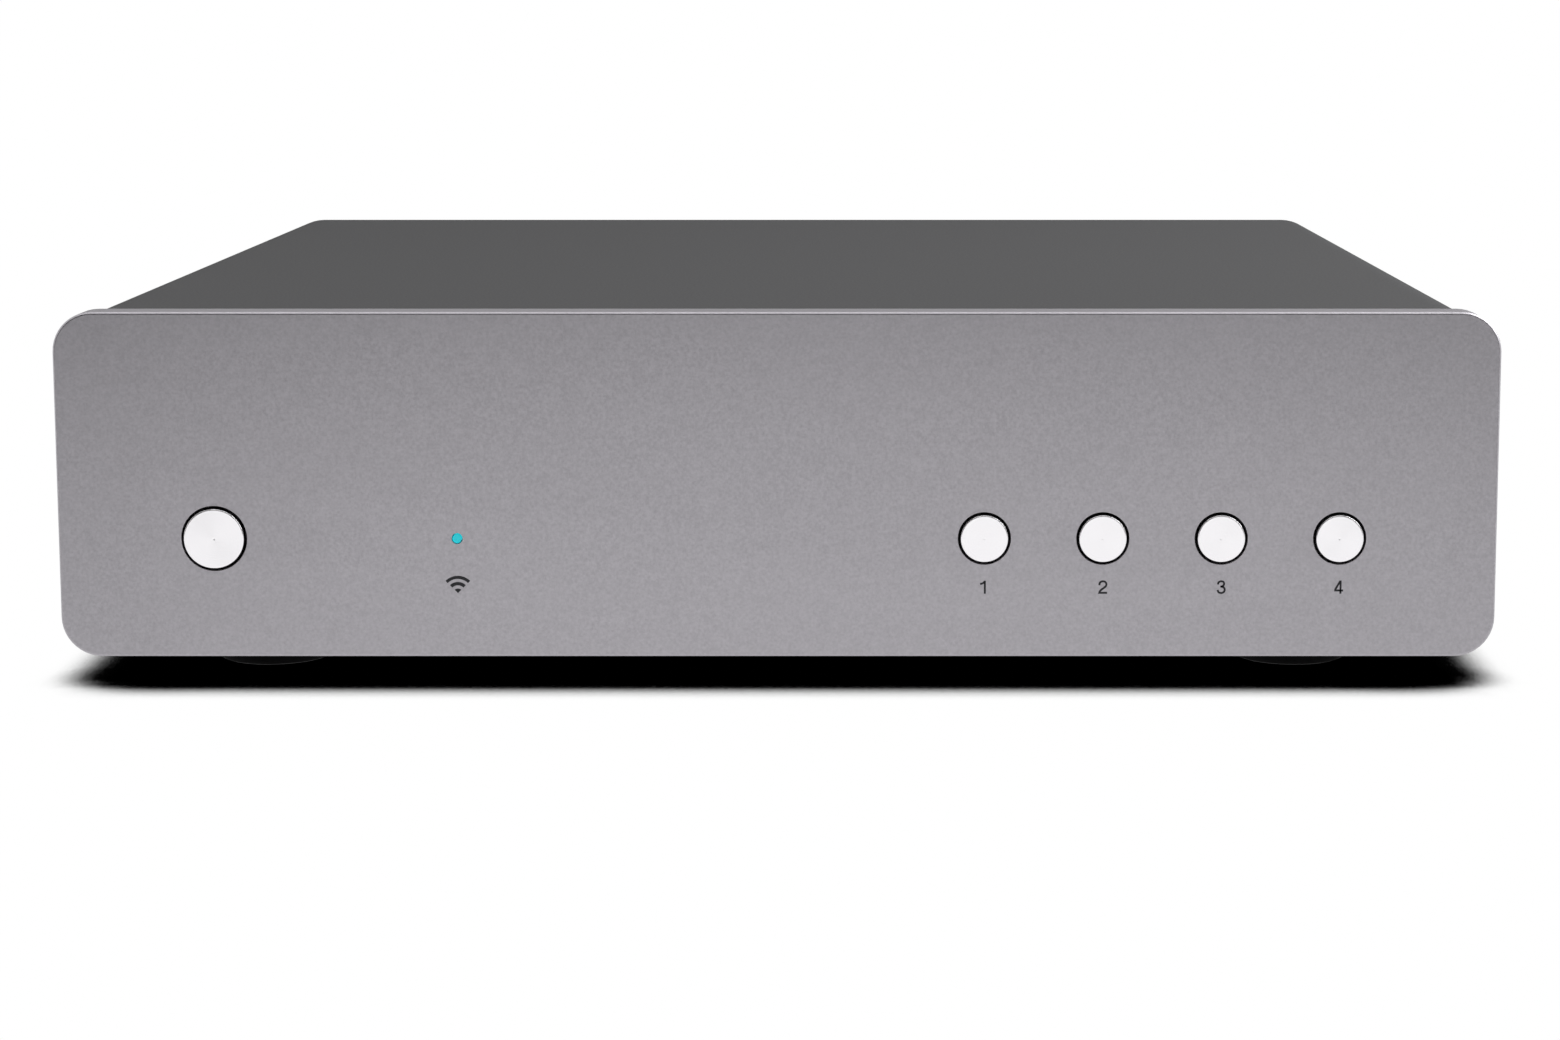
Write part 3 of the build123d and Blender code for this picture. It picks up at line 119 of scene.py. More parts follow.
class StreamerFinish(bpy.types.PropertyGroup):
    """Colours of the surfaces that show most."""

    panel: colour_choice("Front panel", "Blasted and anodised aluminium", "#B1AEB3")
    cap: colour_choice("Button caps", "Turned aluminium", "#FDFBFE")
    cover: colour_choice("Cover", "Powder coat on the wrap cover", "#464647")
    rear: colour_choice("Rear panel", "Satin paint on the rear panel", "#18181A")
    ink: colour_choice("Print", "Ink of the figures and the wireless sign", "#28282C")
    light: colour_choice("Status light", "Light that the lens gives", "#1CC6D2")


class StreamerSizes(bpy.types.PropertyGroup):
    """Sizes of the details that are finer than the frame."""

    plate_round: length_choice("Plate edges", "Round on the edges of thick plates", 0.1)
    sheet_round: length_choice("Sheet edges", "Round on the edges of sheet metal", 0.18)
    moulded_round: length_choice("Moulded edges", "Round on the edges of mouldings", 0.15)
    rubber_round: length_choice("Rubber edges", "Round on the edges of the feet", 0.6)
    figure_height: length_choice("Figure height", "Height of the printed figures", 2.0)
    figure_stroke: length_choice("Figure stroke", "Line width of the printed figures", 0.3)
    figure_drop: length_choice("Figure drop", "From a button's axis down to its figure's middle", 7.4)
    sign_radius: length_choice("Sign radius", "Outer radius of the wireless sign", 2.62)
    sign_drop: length_choice("Sign drop", "From the status light down to the sign's tip", 8.3)
    ink_thickness: length_choice("Ink thickness", "Height of the print above the panel", 0.02)
    screw_pitch: length_choice("Screw thread", "Pitch of the thread on the screws", 0.5)
    thread_pitch: length_choice("Antenna thread", "Pitch of the thread on the antenna sockets", 0.71)
    thread_depth: length_choice("Antenna thread depth", "From the thread's crest to its root", 0.32)


class StreamerStage(bpy.types.PropertyGroup):
    """Camera and light levels."""

    lens: FloatProperty(name="Lens", description="Focal length in millimetres", default=70.45, min=10)
    camera_place: FloatVectorProperty(
        name="Camera", description="Where the camera stands", default=(0.01341, -0.54453, 0.1048),
        subtype="TRANSLATION", unit="LENGTH", size=3,
    )
    camera_pitch: FloatProperty(
        name="Camera pitch", description="How far the camera looks down", default=math.radians(7.337),
        subtype="ANGLE", unit="ROTATION",
    )
    shift_x: FloatProperty(name="Shift across", description="Lens shift across", default=-0.056)
    shift_y: FloatProperty(name="Shift up", description="Lens shift upwards", default=-0.09)
    ambient: FloatProperty(name="Ambient", description="Level of the light all round", default=0.38, min=0)
    key: FloatProperty(name="Key light", description="Watts of the lamp up on the right", default=2.4)
    strip: FloatProperty(name="Strip light", description="Watts of the strip over the front", default=0.6)


def add(tree, kind, inputs=None, **settings):
    """Adds a node. Its inputs are values, sockets, nodes for their first outputs, or lists of these."""
    made = tree.nodes.new(kind)
    for name, value in settings.items():
        setattr(made, name, value)
    for name, value in (inputs or {}).items():
        for item in value if isinstance(value, list) else [value]:
            if isinstance(item, bpy.types.Node):
                tree.links.new(item.outputs[0], made.inputs[name])
            elif isinstance(item, bpy.types.NodeSocket):
                tree.links.new(item, made.inputs[name])
            else:
                made.inputs[name].default_value = item
    return made


def work_out(tree, sources, steps):
    """Named values of some sockets and of the sums on them, each as (name, operation, what it works on)."""
    values = dict(sources)
    for name, operation, *operands in steps:
        inputs = {place: values.get(operand, operand) for place, operand in enumerate(operands)}
        values[name] = add(tree, "ShaderNodeMath", inputs, operation=operation)
    return values


def blank(name):
    """A material with an empty tree."""
    material = bpy.data.materials.new(name)
    material.use_nodes = True
    material.node_tree.nodes.clear()
    return material, material.node_tree


def ended(material, sockets):
    """A material with its shader, the last thing in its tree."""
    shader = add(material.node_tree, "ShaderNodeBsdfPrincipled", sockets)
    add(material.node_tree, "ShaderNodeOutputMaterial", {"Surface": shader})
    return material


def surface(name, colour, roughness, tones, grain, relief, metallic=0.0, stretch=(1, 1, 1), spread=0.05,
            specular=0.5):
    """A finish whose colour, gloss and relief share one fine pattern, whose grain is a length.

    The colour is sRGB hex or the name of a choice in the sidebar.
    """
    choices = bpy.context.scene.streamer_finish
    colour = linear(colour) if colour.startswith("#") else getattr(choices, colour)
    light, dark = tones
    material, tree = blank(name)
    place = add(tree, "ShaderNodeTexCoord")
    mapped = add(tree, "ShaderNodeMapping", {"Vector": place.outputs["Object"], "Scale": stretch})
    pattern = add(tree, "ShaderNodeTexNoise", {
        "Vector": mapped.outputs["Vector"], "Scale": 1 / grain, "Detail": 3.0, "Roughness": 0.6,
    })
    tone = add(tree, "ShaderNodeMix", {
        0: pattern, 6: tuned(colour, dark), 7: tuned(colour, light),
    }, data_type="RGBA")
    gloss = add(tree, "ShaderNodeMapRange", {
        "Value": pattern, "From Min": 0.3, "From Max": 0.7,
        "To Min": roughness + spread, "To Max": roughness - spread,
    })
    bump = add(tree, "ShaderNodeBump", {"Height": pattern, "Distance": relief})
    return ended(material, {
        "Base Color": tone.outputs[2], "Metallic": metallic, "Roughness": gloss,
        "Specular IOR Level": specular, "Normal": bump,
    })


def turned_cap():
    # Turned aluminium: the lathe leaves fine rings, so light lies on the face as a fan. The rings are
    # drawn 0.2 mm apart, coarser than a real 0.04 mm feed, so that they show
    colour = bpy.context.scene.streamer_finish.cap
    ring_pitch = 0.2 * MM
    material, tree = blank("turned_aluminium")
    offset = add(tree, "ShaderNodeAttribute", attribute_name="from_axis")
    distance = add(tree, "ShaderNodeVectorMath", {0: offset.outputs["Vector"]}, operation="LENGTH")
    rings = add(tree, "ShaderNodeTexNoise", {
        "W": distance.outputs["Value"], "Scale": 1 / ring_pitch, "Detail": 2.0,
    }, noise_dimensions="1D")
    tones = {0: rings, 6: tuned(colour, 0.96), 7: tuned(colour, 1.02)}
    tone = add(tree, "ShaderNodeMix", tones, data_type="RGBA")
    bump = add(tree, "ShaderNodeBump", {"Height": rings, "Distance": 0.002 * MM})
    return ended(material, {
        "Base Color": tone.outputs[2], "Metallic": 1.0, "Roughness": 0.26, "Anisotropic": 0.35,
        "Tangent": offset.outputs["Vector"], "Normal": bump,
    })


def status_acrylic():
    # Clear acrylic lit from behind: the light leaves at the lens, so only its front end glows
    light = bpy.context.scene.streamer_finish.light
    lens_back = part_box("front_panel")[0].y + 1.0 * MM
    haze_grain = 0.3 * MM
    material, tree = blank("lit_acrylic")
    place = add(tree, "ShaderNodeTexCoord").outputs["Object"]
    parts = add(tree, "ShaderNodeSeparateXYZ", {"Vector": place})
    haze = add(tree, "ShaderNodeTexNoise", {"Vector": place, "Scale": 1 / haze_grain})
    level = add(tree, "ShaderNodeMapRange", {"Value": haze, "To Min": 0.72, "To Max": 0.92})
    values = work_out(tree, {"depth": parts.outputs["Y"], "level": level}, [
        ("front", "LESS_THAN", "depth", lens_back), ("glow", "MULTIPLY", "front", "level"),
    ])
    return ended(material, {
        "Base Color": tuned(light, 0.5), "Roughness": 0.25, "IOR": 1.49, "Transmission Weight": 0.6,
        "Specular IOR Level": 0.3, "Emission Color": light, "Emission Strength": values["glow"],
    })


def solder_mask():
    # Green solder mask: the copper under it shows as a lighter net of traces, 0.3 mm wide at 1.2 mm pitch
    trace_pitch = 1.2 * MM
    material, tree = blank("green_solder_mask")
    place = add(tree, "ShaderNodeTexCoord")
    cells = add(tree, "ShaderNodeTexVoronoi", {
        "Vector": place.outputs["Object"], "Scale": 1 / trace_pitch, "Randomness": 0.55,
    }, feature="DISTANCE_TO_EDGE", distance="EUCLIDEAN")
    trace = add(tree, "ShaderNodeMapRange", {
        "Value": cells.outputs["Distance"], "From Min": 0.08, "From Max": 0.14, "To Min": 1.0, "To Max": 0.0,
    })
    tone = add(tree, "ShaderNodeMix", {
        0: trace, 6: linear("#0D3A20"), 7: linear("#17603A"),
    }, data_type="RGBA")
    bump = add(tree, "ShaderNodeBump", {"Height": trace, "Distance": 0.02 * MM})
    return ended(material, {"Base Color": tone.outputs[2], "Roughness": 0.32, "Normal": bump})


def ribbon_film():
    # Laminated film over flat tinned conductors, 1 mm apart across the ribbon
    material, tree = blank("laminated_ribbon")
    place = add(tree, "ShaderNodeTexCoord")
    parts = add(tree, "ShaderNodeSeparateXYZ", {"Vector": place.outputs["Object"]})
    bands = work_out(tree, {"across": parts.outputs["X"]}, [("band", "PINGPONG", "across", 0.5 * MM)])
    edge = add(tree, "ShaderNodeMapRange", {
        "Value": bands["band"], "From Min": 0.15 * MM, "From Max": 0.2 * MM,
    })
    tone = add(tree, "ShaderNodeMix", {
        0: edge, 6: linear("#DADBD8"), 7: linear("#9B9DA0"),
    }, data_type="RGBA")
    return ended(material, {"Base Color": tone.outputs[2], "Roughness": 0.35})


DRAWN_FINISHES = {
    "turned_cap": turned_cap,
    "clear_acrylic": status_acrylic,
    "circuit_board": solder_mask,
    "ribbon_film": ribbon_film,
}
PLASTIC = {"tones": (1.1, 0.9), "grain": 0.3 * MM, "relief": 0.004 * MM}
METAL = {"tones": (1.05, 0.93), "grain": 0.5 * MM, "relief": 0.001 * MM, "metallic": 1.0}
BLASTED = {"tones": (1.15, 0.83), "grain": 0.42 * MM, "relief": 0.004 * MM, "metallic": 1.0, "spread": 0.04}
POWDER = {"tones": (1.08, 0.92), "grain": 0.4 * MM, "relief": 0.006 * MM, "specular": 0.25}
PAINT = {"tones": (1.15, 0.85), "grain": 0.35 * MM, "relief": 0.005 * MM, "specular": 0.35}
INK = {"tones": (1.1, 0.9), "grain": 0.2 * MM, "relief": 0.001 * MM}

# The other finishes by their slots in the record, or by their own names where the record has no slot for
# them: the name of the real surface, its colour, its roughness and what else it is made of
SURFACES = {
    # Bead-blasted and grey anodised: a soft sheen and a fine speckle of blasted pits
    "anodised_panel": ("blasted_anodised_aluminium", "panel", 0.42, BLASTED),
    # Fine powder coat on steel: matt, with a close orange-peel grain
    "painted_cover": ("fine_powder_coat", "cover", 0.62, POWDER),
    "painted_rear": ("satin_black_paint", "rear", 0.5, PAINT),
    # Screen-printed ink: flat, with faint thin places
    "printed_ink": ("printed_ink", "ink", 0.7, INK),
    # Glass-filled nylon, black, with a spark-eroded grain
    "black_moulding": ("black_nylon", "#161617", 0.5, PLASTIC),
    # Acetal, natural white and waxy
    "switch_stem": ("white_acetal", "#CDCAC0", 0.38, PLASTIC),
    "switch_body": ("black_switch_moulding", "#141415", 0.42, PLASTIC),
    # Tinted epoxy of a small surface lamp
    "led_resin": ("tinted_epoxy", "#4FC7CC", 0.2, PLASTIC),
    # Natural nylon of connector housings
    "connector_nylon": ("natural_nylon", "#D9D4C3", 0.45, PLASTIC),
    # Zinc-plated steel, cool grey with cloudy patches a few millimetres wide
    "zinc_tray": ("zinc_plated_sheet", "#B3B6B8", 0.34, METAL | {"grain": 4.0 * MM}),
    # Moulded rubber, matt and slightly dusty. Its black is partly the rubber's own and partly painted shade,
    # darker than rubber, so the feet sink into the dark under the case
    "foot_rubber": ("black_rubber", "#0B0B0B", 0.85, PLASTIC | {"relief": 0.01 * MM, "specular": 0.1}),
    "zinc_screw": ("zinc_plated_steel", "#BABBBE", 0.3, METAL),
    # Black oxide on steel
    "black_screw": ("black_oxide_steel", "#2A2A2B", 0.38, METAL),
    "nickel_brass": ("nickel_plated_brass", "#BDB9AC", 0.24, METAL),
    # Extruded and rolled metal, drawn out along its run
    "heatsink_black": ("black_anodised_extrusion", "#222224", 0.45, METAL | {"stretch": (1, 0.05, 1)}),
    "tinned_shield": ("tin_plated_sheet", "#BEBEBC", 0.3, METAL | {"stretch": (0.1, 1, 1)}),
    "plated_shell": ("nickel_plated_shell", "#C0C0BF", 0.26, METAL),
    "white_contact_carrier": ("white_contact_moulding", "#DFDED8", 0.4, PLASTIC),
    "phono_moulding": ("black_phono_moulding", "#151516", 0.45, PLASTIC),
    "phono_plating": ("bright_nickel", "#D3CFC6", 0.16, METAL),
    "optical_moulding": ("black_optical_moulding", "#131314", 0.4, PLASTIC),
    "gold_brass": ("gold_plated_brass", "#DDB25A", 0.2, METAL),
    "cable_jacket": ("black_cable_jacket", "#171717", 0.5, PLASTIC),
    "inlet_moulding": ("black_inlet_moulding", "#101011", 0.36, PLASTIC),
    "nickel_pin": ("nickel_plated_pin", "#C6C2B6", 0.2, METAL),
    # Sintered manganese-zinc ferrite, near black and slightly rough
    "ferrite": ("sintered_ferrite", "#242424", 0.7, PLASTIC | {"relief": 0.01 * MM}),
    # Shrunk vinyl sleeve of an electrolytic capacitor
    "sleeved_can": ("shrunk_vinyl_sleeve", "#14142A", 0.3, PLASTIC),
    "insulation_film": ("black_polycarbonate_film", "#19191B", 0.35, PLASTIC),
    "white_insulator": ("white_insulator", "#E4E3DF", 0.38, PLASTIC),
    "red_insulator": ("red_insulator", "#B3201D", 0.38, PLASTIC),
    "orange_insulator": ("orange_insulator", "#D9701C", 0.38, PLASTIC),
    # Moulded epoxy of chips, dark and matt
    "black_epoxy": ("black_moulded_epoxy", "#1B1B1D", 0.55, PLASTIC),
    "bare_aluminium_can": ("drawn_aluminium_can", "#C9CACC", 0.28, METAL),
    # Fired ceramic of chip capacitors
    "tan_ceramic": ("tan_fired_ceramic", "#9C8260", 0.5, PLASTIC),
}
made_finishes = {}


def finish_of(slot):
    """The finish of a slot, made once."""
    if slot in made_finishes:
        return made_finishes[slot]
    if slot in DRAWN_FINISHES:
        made_finishes[slot] = DRAWN_FINISHES[slot]()
    else:
        name, colour, roughness, made_as = SURFACES[slot]
        made_finishes[slot] = surface(name, colour, roughness, **made_as)
    return made_finishes[slot]


def new_piece(name, mesh):
    """A mesh as an object in the scene."""
    piece = bpy.data.objects.new(name, mesh)
    bpy.context.scene.collection.objects.link(piece)
    return piece


def settle(piece, body, slot, *nodes, finish=None):
    """Gives a finished piece its surface, the slot's own unless a finish is named, and its body, and hides
    the nodes that it stands for.
    """
    piece.data.materials.clear()
    piece.data.materials.append(finish_of(finish or slot))
    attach(piece, body)
    if nodes:
        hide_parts(*nodes)


def evaluated(piece):
    """The mesh of an object with its modifiers applied."""
    bpy.context.view_layer.update()
    depsgraph = bpy.context.evaluated_depsgraph_get()
    return bpy.data.meshes.new_from_object(piece.evaluated_get(depsgraph), depsgraph=depsgraph)


def shaded(mesh):
    """Smooth shading that breaks where faces meet at more than 35 degrees."""
    mesh.polygons.foreach_set("use_smooth", [True] * len(mesh.polygons))
    mesh.set_sharp_from_angle(angle=math.radians(35))
    return mesh


def clean_copy(node):
    """A node's shape with its loose triangles joined into whole faces."""
    mesh = frame["nodes"][node].data.copy()
    for name in ("custom_normal", "sharp_face", "sharp_edge"):
        if name in mesh.attributes:
            mesh.attributes.remove(mesh.attributes[name])
    shape = bmesh.new()
    shape.from_mesh(mesh)
    bmesh.ops.remove_doubles(shape, verts=shape.verts, dist=0.001 * MM)
    bmesh.ops.dissolve_limit(shape, angle_limit=math.radians(0.5), verts=shape.verts, edges=shape.edges)
    shape.to_mesh(mesh)
    shape.free()
    return mesh


def edge_nodes(nodes, width):
    """Finishes nodes with rounded edges, as light always finds a real edge, and their own surfaces."""
    for node in nodes:
        piece = new_piece(f"{node}_finished", clean_copy(node))
        bevel = piece.modifiers.new("edge round", "BEVEL")
        bevel.width = width
        bevel.segments = 2
        bevel.limit_method = "ANGLE"
        bevel.angle_limit = math.radians(32)
        bevel.use_clamp_overlap = False
        rounded = evaluated(piece)
        piece.modifiers.clear()
        piece.data = shaded(rounded)
        piece.modifiers.new("even shading", "WEIGHTED_NORMAL").keep_sharp = True
        even = evaluated(piece)
        piece.modifiers.clear()
        piece.data = even
        settle(piece, BODY_OF[node], SLOT_OF[node], node)


def mesh_from(shape, name):
    """The mesh of a finished bmesh."""
    mesh = bpy.data.meshes.new(name)
    shape.to_mesh(mesh)
    shape.free()
    return mesh


def turned(profiles, axis, steps):
    """A turned shape round a line along Y, from profiles of (depth, radius) points.

    It carries each point's offset from the axis, which the ring pattern of a turned face follows.
    """
    shape = bmesh.new()
    turns = [math.tau * step / steps for step in range(steps)]
    for profile in profiles:
        rings = []
        for depth, radius in profile:
            if radius == 0:
                rings.append([shape.verts.new((axis.x, depth, axis.z))] * steps)
                continue
            rings.append([
                shape.verts.new((axis.x + radius * math.cos(turn), depth, axis.z + radius * math.sin(turn)))
                for turn in turns
            ])
        for near, far in zip(rings, rings[1:]):
            for step in range(steps):
                corners = [near[step], near[step - 1], far[step - 1], far[step]]
                shape.faces.new(list(dict.fromkeys(corners)))
    bmesh.ops.recalc_face_normals(shape, faces=shape.faces)
    mesh = mesh_from(shape, "turned")
    offsets = mesh.attributes.new("from_axis", "FLOAT_VECTOR", "POINT")
    for vertex, offset in zip(mesh.vertices, offsets.data):
        offset.vector = (vertex.co.x - axis.x, 0, vertex.co.z - axis.z)
    return shaded(mesh)


def near_round(depth, radius, size, steps=4):
    """Profile points of a quarter round between a near face and a side."""
    angles = [math.pi / 2 * step / steps for step in range(steps + 1)]
    return [(depth + size * (1 - math.cos(a)), radius - size * (1 - math.sin(a))) for a in angles]


def far_round(depth, radius, size, steps=4):
    """Profile points of a quarter round between a side and a far face."""
    return [(2 * depth - y, r) for y, r in near_round(depth, radius, size, steps)][::-1]


def joined(name, meshes):
    """Several meshes as one."""
    shape = bmesh.new()
    for mesh in meshes:
        shape.from_mesh(mesh)
    return mesh_from(shape, name)


def box_mesh(boxes):
    """Plain blocks as one mesh, each as (middle, sizes)."""
    shape = bmesh.new()
    for place, sizes in boxes:
        block = bmesh.ops.create_cube(shape, size=1.0)
        matrix = Matrix.Translation(place) @ Matrix.Diagonal((*sizes, 1))
        bmesh.ops.transform(shape, matrix=matrix, verts=block["verts"])
    return mesh_from(shape, "blocks")


def tube(name, outlines):
    """A closed shape through (x, z) outlines at their depths, with its first and last outline filled."""
    shape = bmesh.new()
    rings = [[shape.verts.new((x, depth, z)) for x, z in outline] for depth, outline in outlines]
    for near, far in zip(rings, rings[1:]):
        for place in range(len(near)):
            shape.faces.new([near[place - 1], near[place], far[place], far[place - 1]])
    shape.faces.new(rings[0])
    shape.faces.new(rings[-1])
    bmesh.ops.recalc_face_normals(shape, faces=shape.faces)
    bmesh.ops.triangulate(shape, faces=[face for face in shape.faces if len(face.verts) > 4])
    return mesh_from(shape, name)


def smooth_line(points, steps=8):
    """A smooth line through some points in a plane."""
    padded = [points[0], *points, points[-1]]
    line = []
    for a, b, c, d in zip(padded, padded[1:], padded[2:], padded[3:]):
        for step in range(steps):
            t = step / steps
            line.append(tuple(
                0.5 * (2 * q + (r - p) * t + (2 * p - 5 * q + 4 * r - s) * t ** 2
                       + (3 * q - p - 3 * r + s) * t ** 3)
                for p, q, r, s in zip(a, b, c, d)
            ))
    return [*line, tuple(points[-1])]


def fan(tip, radius, steps):
    """Points of an arc that spreads by 45 degrees to each side above a tip."""
    angles = [math.radians(45) * (2 * step / steps - 1) for step in range(steps + 1)]
    return [(tip[0] + radius * math.sin(angle), tip[1] + radius * math.cos(angle)) for angle in angles]


def stroke(points, width):
    """The closed outline of a line of some width through points."""
    left, right = [], []
    for place, point in enumerate(points):
        before = Vector(points[max(place - 1, 0)])
        here = Vector(point)
        after = Vector(points[min(place + 1, len(points) - 1)])
        first = (here - before).normalized() if place else (after - here).normalized()
        second = (after - here).normalized() if place < len(points) - 1 else first
        along = (first + second).normalized()
        reach = width / 2 / max(along.dot(first), 0.5)
        side = Vector((-along.y, along.x)) * reach
        left.append(tuple(here + side))
        right.append(tuple(here - side))
    return left + right[::-1]


def geometry_tree(name, sizes):
    """A Geometry Nodes tree with a named input for each size, and its inputs as sockets by name."""
    tree = bpy.data.node_groups.new(name, "GeometryNodeTree")
    tree.interface.new_socket("Geometry", in_out="INPUT", socket_type="NodeSocketGeometry")
    for size, default in sizes.items():
        kind = "NodeSocketInt" if isinstance(default, int) else "NodeSocketFloat"
        tree.interface.new_socket(size, in_out="INPUT", socket_type=kind).default_value = default
    tree.interface.new_socket("Geometry", in_out="OUTPUT", socket_type="NodeSocketGeometry")
    return tree, dict(add(tree, "NodeGroupInput").outputs.items())


def give(tree, geometry, slot):
    """Ends a tree in plain geometry with its surface."""
    real = add(tree, "GeometryNodeRealizeInstances", {0: geometry})
    painted = add(tree, "GeometryNodeSetMaterial", {0: real, "Material": finish_of(slot)})
    add(tree, "NodeGroupOutput", {0: painted})
    return tree


def grown(seed_mesh, tree, **sizes):
    """The plain mesh that a tree makes from a mesh, with its inputs set by their identifiers."""
    seed = new_piece("seed", seed_mesh)
    modifier = seed.modifiers.new("growth", "NODES")
    modifier.node_group = tree
    for item in tree.interface.items_tree:
        key = item.name.lower().replace(" ", "_")
        if item.in_out == "INPUT" and key in sizes:
            modifier[item.identifier] = sizes[key]
    mesh = evaluated(seed)
    seed.modifiers.clear()
    bpy.data.objects.remove(seed)
    return mesh


def point_mesh(places, **attributes):
    """A mesh of loose points that carry vectors, which a tree sets its pieces on."""
    mesh = bpy.data.meshes.new("points")
    mesh.from_pydata([tuple(place) for place in places], [], [])
    for name, values in attributes.items():
        layer = mesh.attributes.new(name, "FLOAT_VECTOR", "POINT")
        for item, value in zip(layer.data, values):
            item.vector = value
    return mesh


def line_mesh(points):
    """A mesh that draws one open line."""
    mesh = bpy.data.meshes.new("line")
    mesh.from_pydata(points, [(place, place + 1) for place in range(len(points) - 1)], [])
    return mesh


def thread_tree():
    """A threaded rod that stands up along Z: a sheet wound round, its radius a helix of the pitch."""
    tree, size = geometry_tree("thread", {
        "Length": 5.0 * MM, "Crest Radius": 1.5 * MM, "Root Radius": 1.2 * MM, "Pitch": 0.5 * MM,
        "Around": 24, "Along": 60,
    })
    place = add(tree, "GeometryNodeInputPosition")
    parts = add(tree, "ShaderNodeSeparateXYZ", {0: place})
    values = work_out(tree, size | dict(parts.outputs.items()), [
        ("columns", "ADD", "Around", 1.0),
        ("rows", "ADD", "Along", 1.0),
        ("turn", "ADD", "X", 0.5),
        ("share", "ADD", "Y", 0.5),
        ("height", "MULTIPLY", "share", "Length"),
        ("turns up", "DIVIDE", "height", "Pitch"),
        ("winding", "SUBTRACT", "turns up", "turn"),
        ("half crest", "PINGPONG", "winding", 0.5),
        ("crest", "MULTIPLY", "half crest", 2.0),
        ("left", "SUBTRACT", "Length", "height"),
        ("from end", "MINIMUM", "height", "left"),
        ("turns from end", "DIVIDE", "from end", "Pitch"),
        ("fade", "MINIMUM", "turns from end", 1.0),
        ("faded crest", "MULTIPLY", "crest", "fade"),
        ("depth", "SUBTRACT", "Crest Radius", "Root Radius"),
        ("rise", "MULTIPLY", "depth", "faded crest"),
        ("radius", "ADD", "Root Radius", "rise"),
        ("angle", "MULTIPLY", "turn", math.tau),
        ("cosine", "COSINE", "angle"),
        ("sine", "SINE", "angle"),
        ("across", "MULTIPLY", "radius", "cosine"),
        ("along", "MULTIPLY", "radius", "sine"),
    ])
    sheet = add(tree, "GeometryNodeMeshGrid", {
        "Size X": 1.0, "Size Y": 1.0, "Vertices X": values["columns"], "Vertices Y": values["rows"],
    })
    wound = add(tree, "ShaderNodeCombineXYZ", {0: values["across"], 1: values["along"], 2: values["height"]})
    rod = add(tree, "GeometryNodeSetPosition", {"Geometry": sheet, "Position": wound})
    closed = add(tree, "GeometryNodeMergeByDistance", {"Geometry": rod, "Distance": 0.0005 * MM})
    return tree, closed


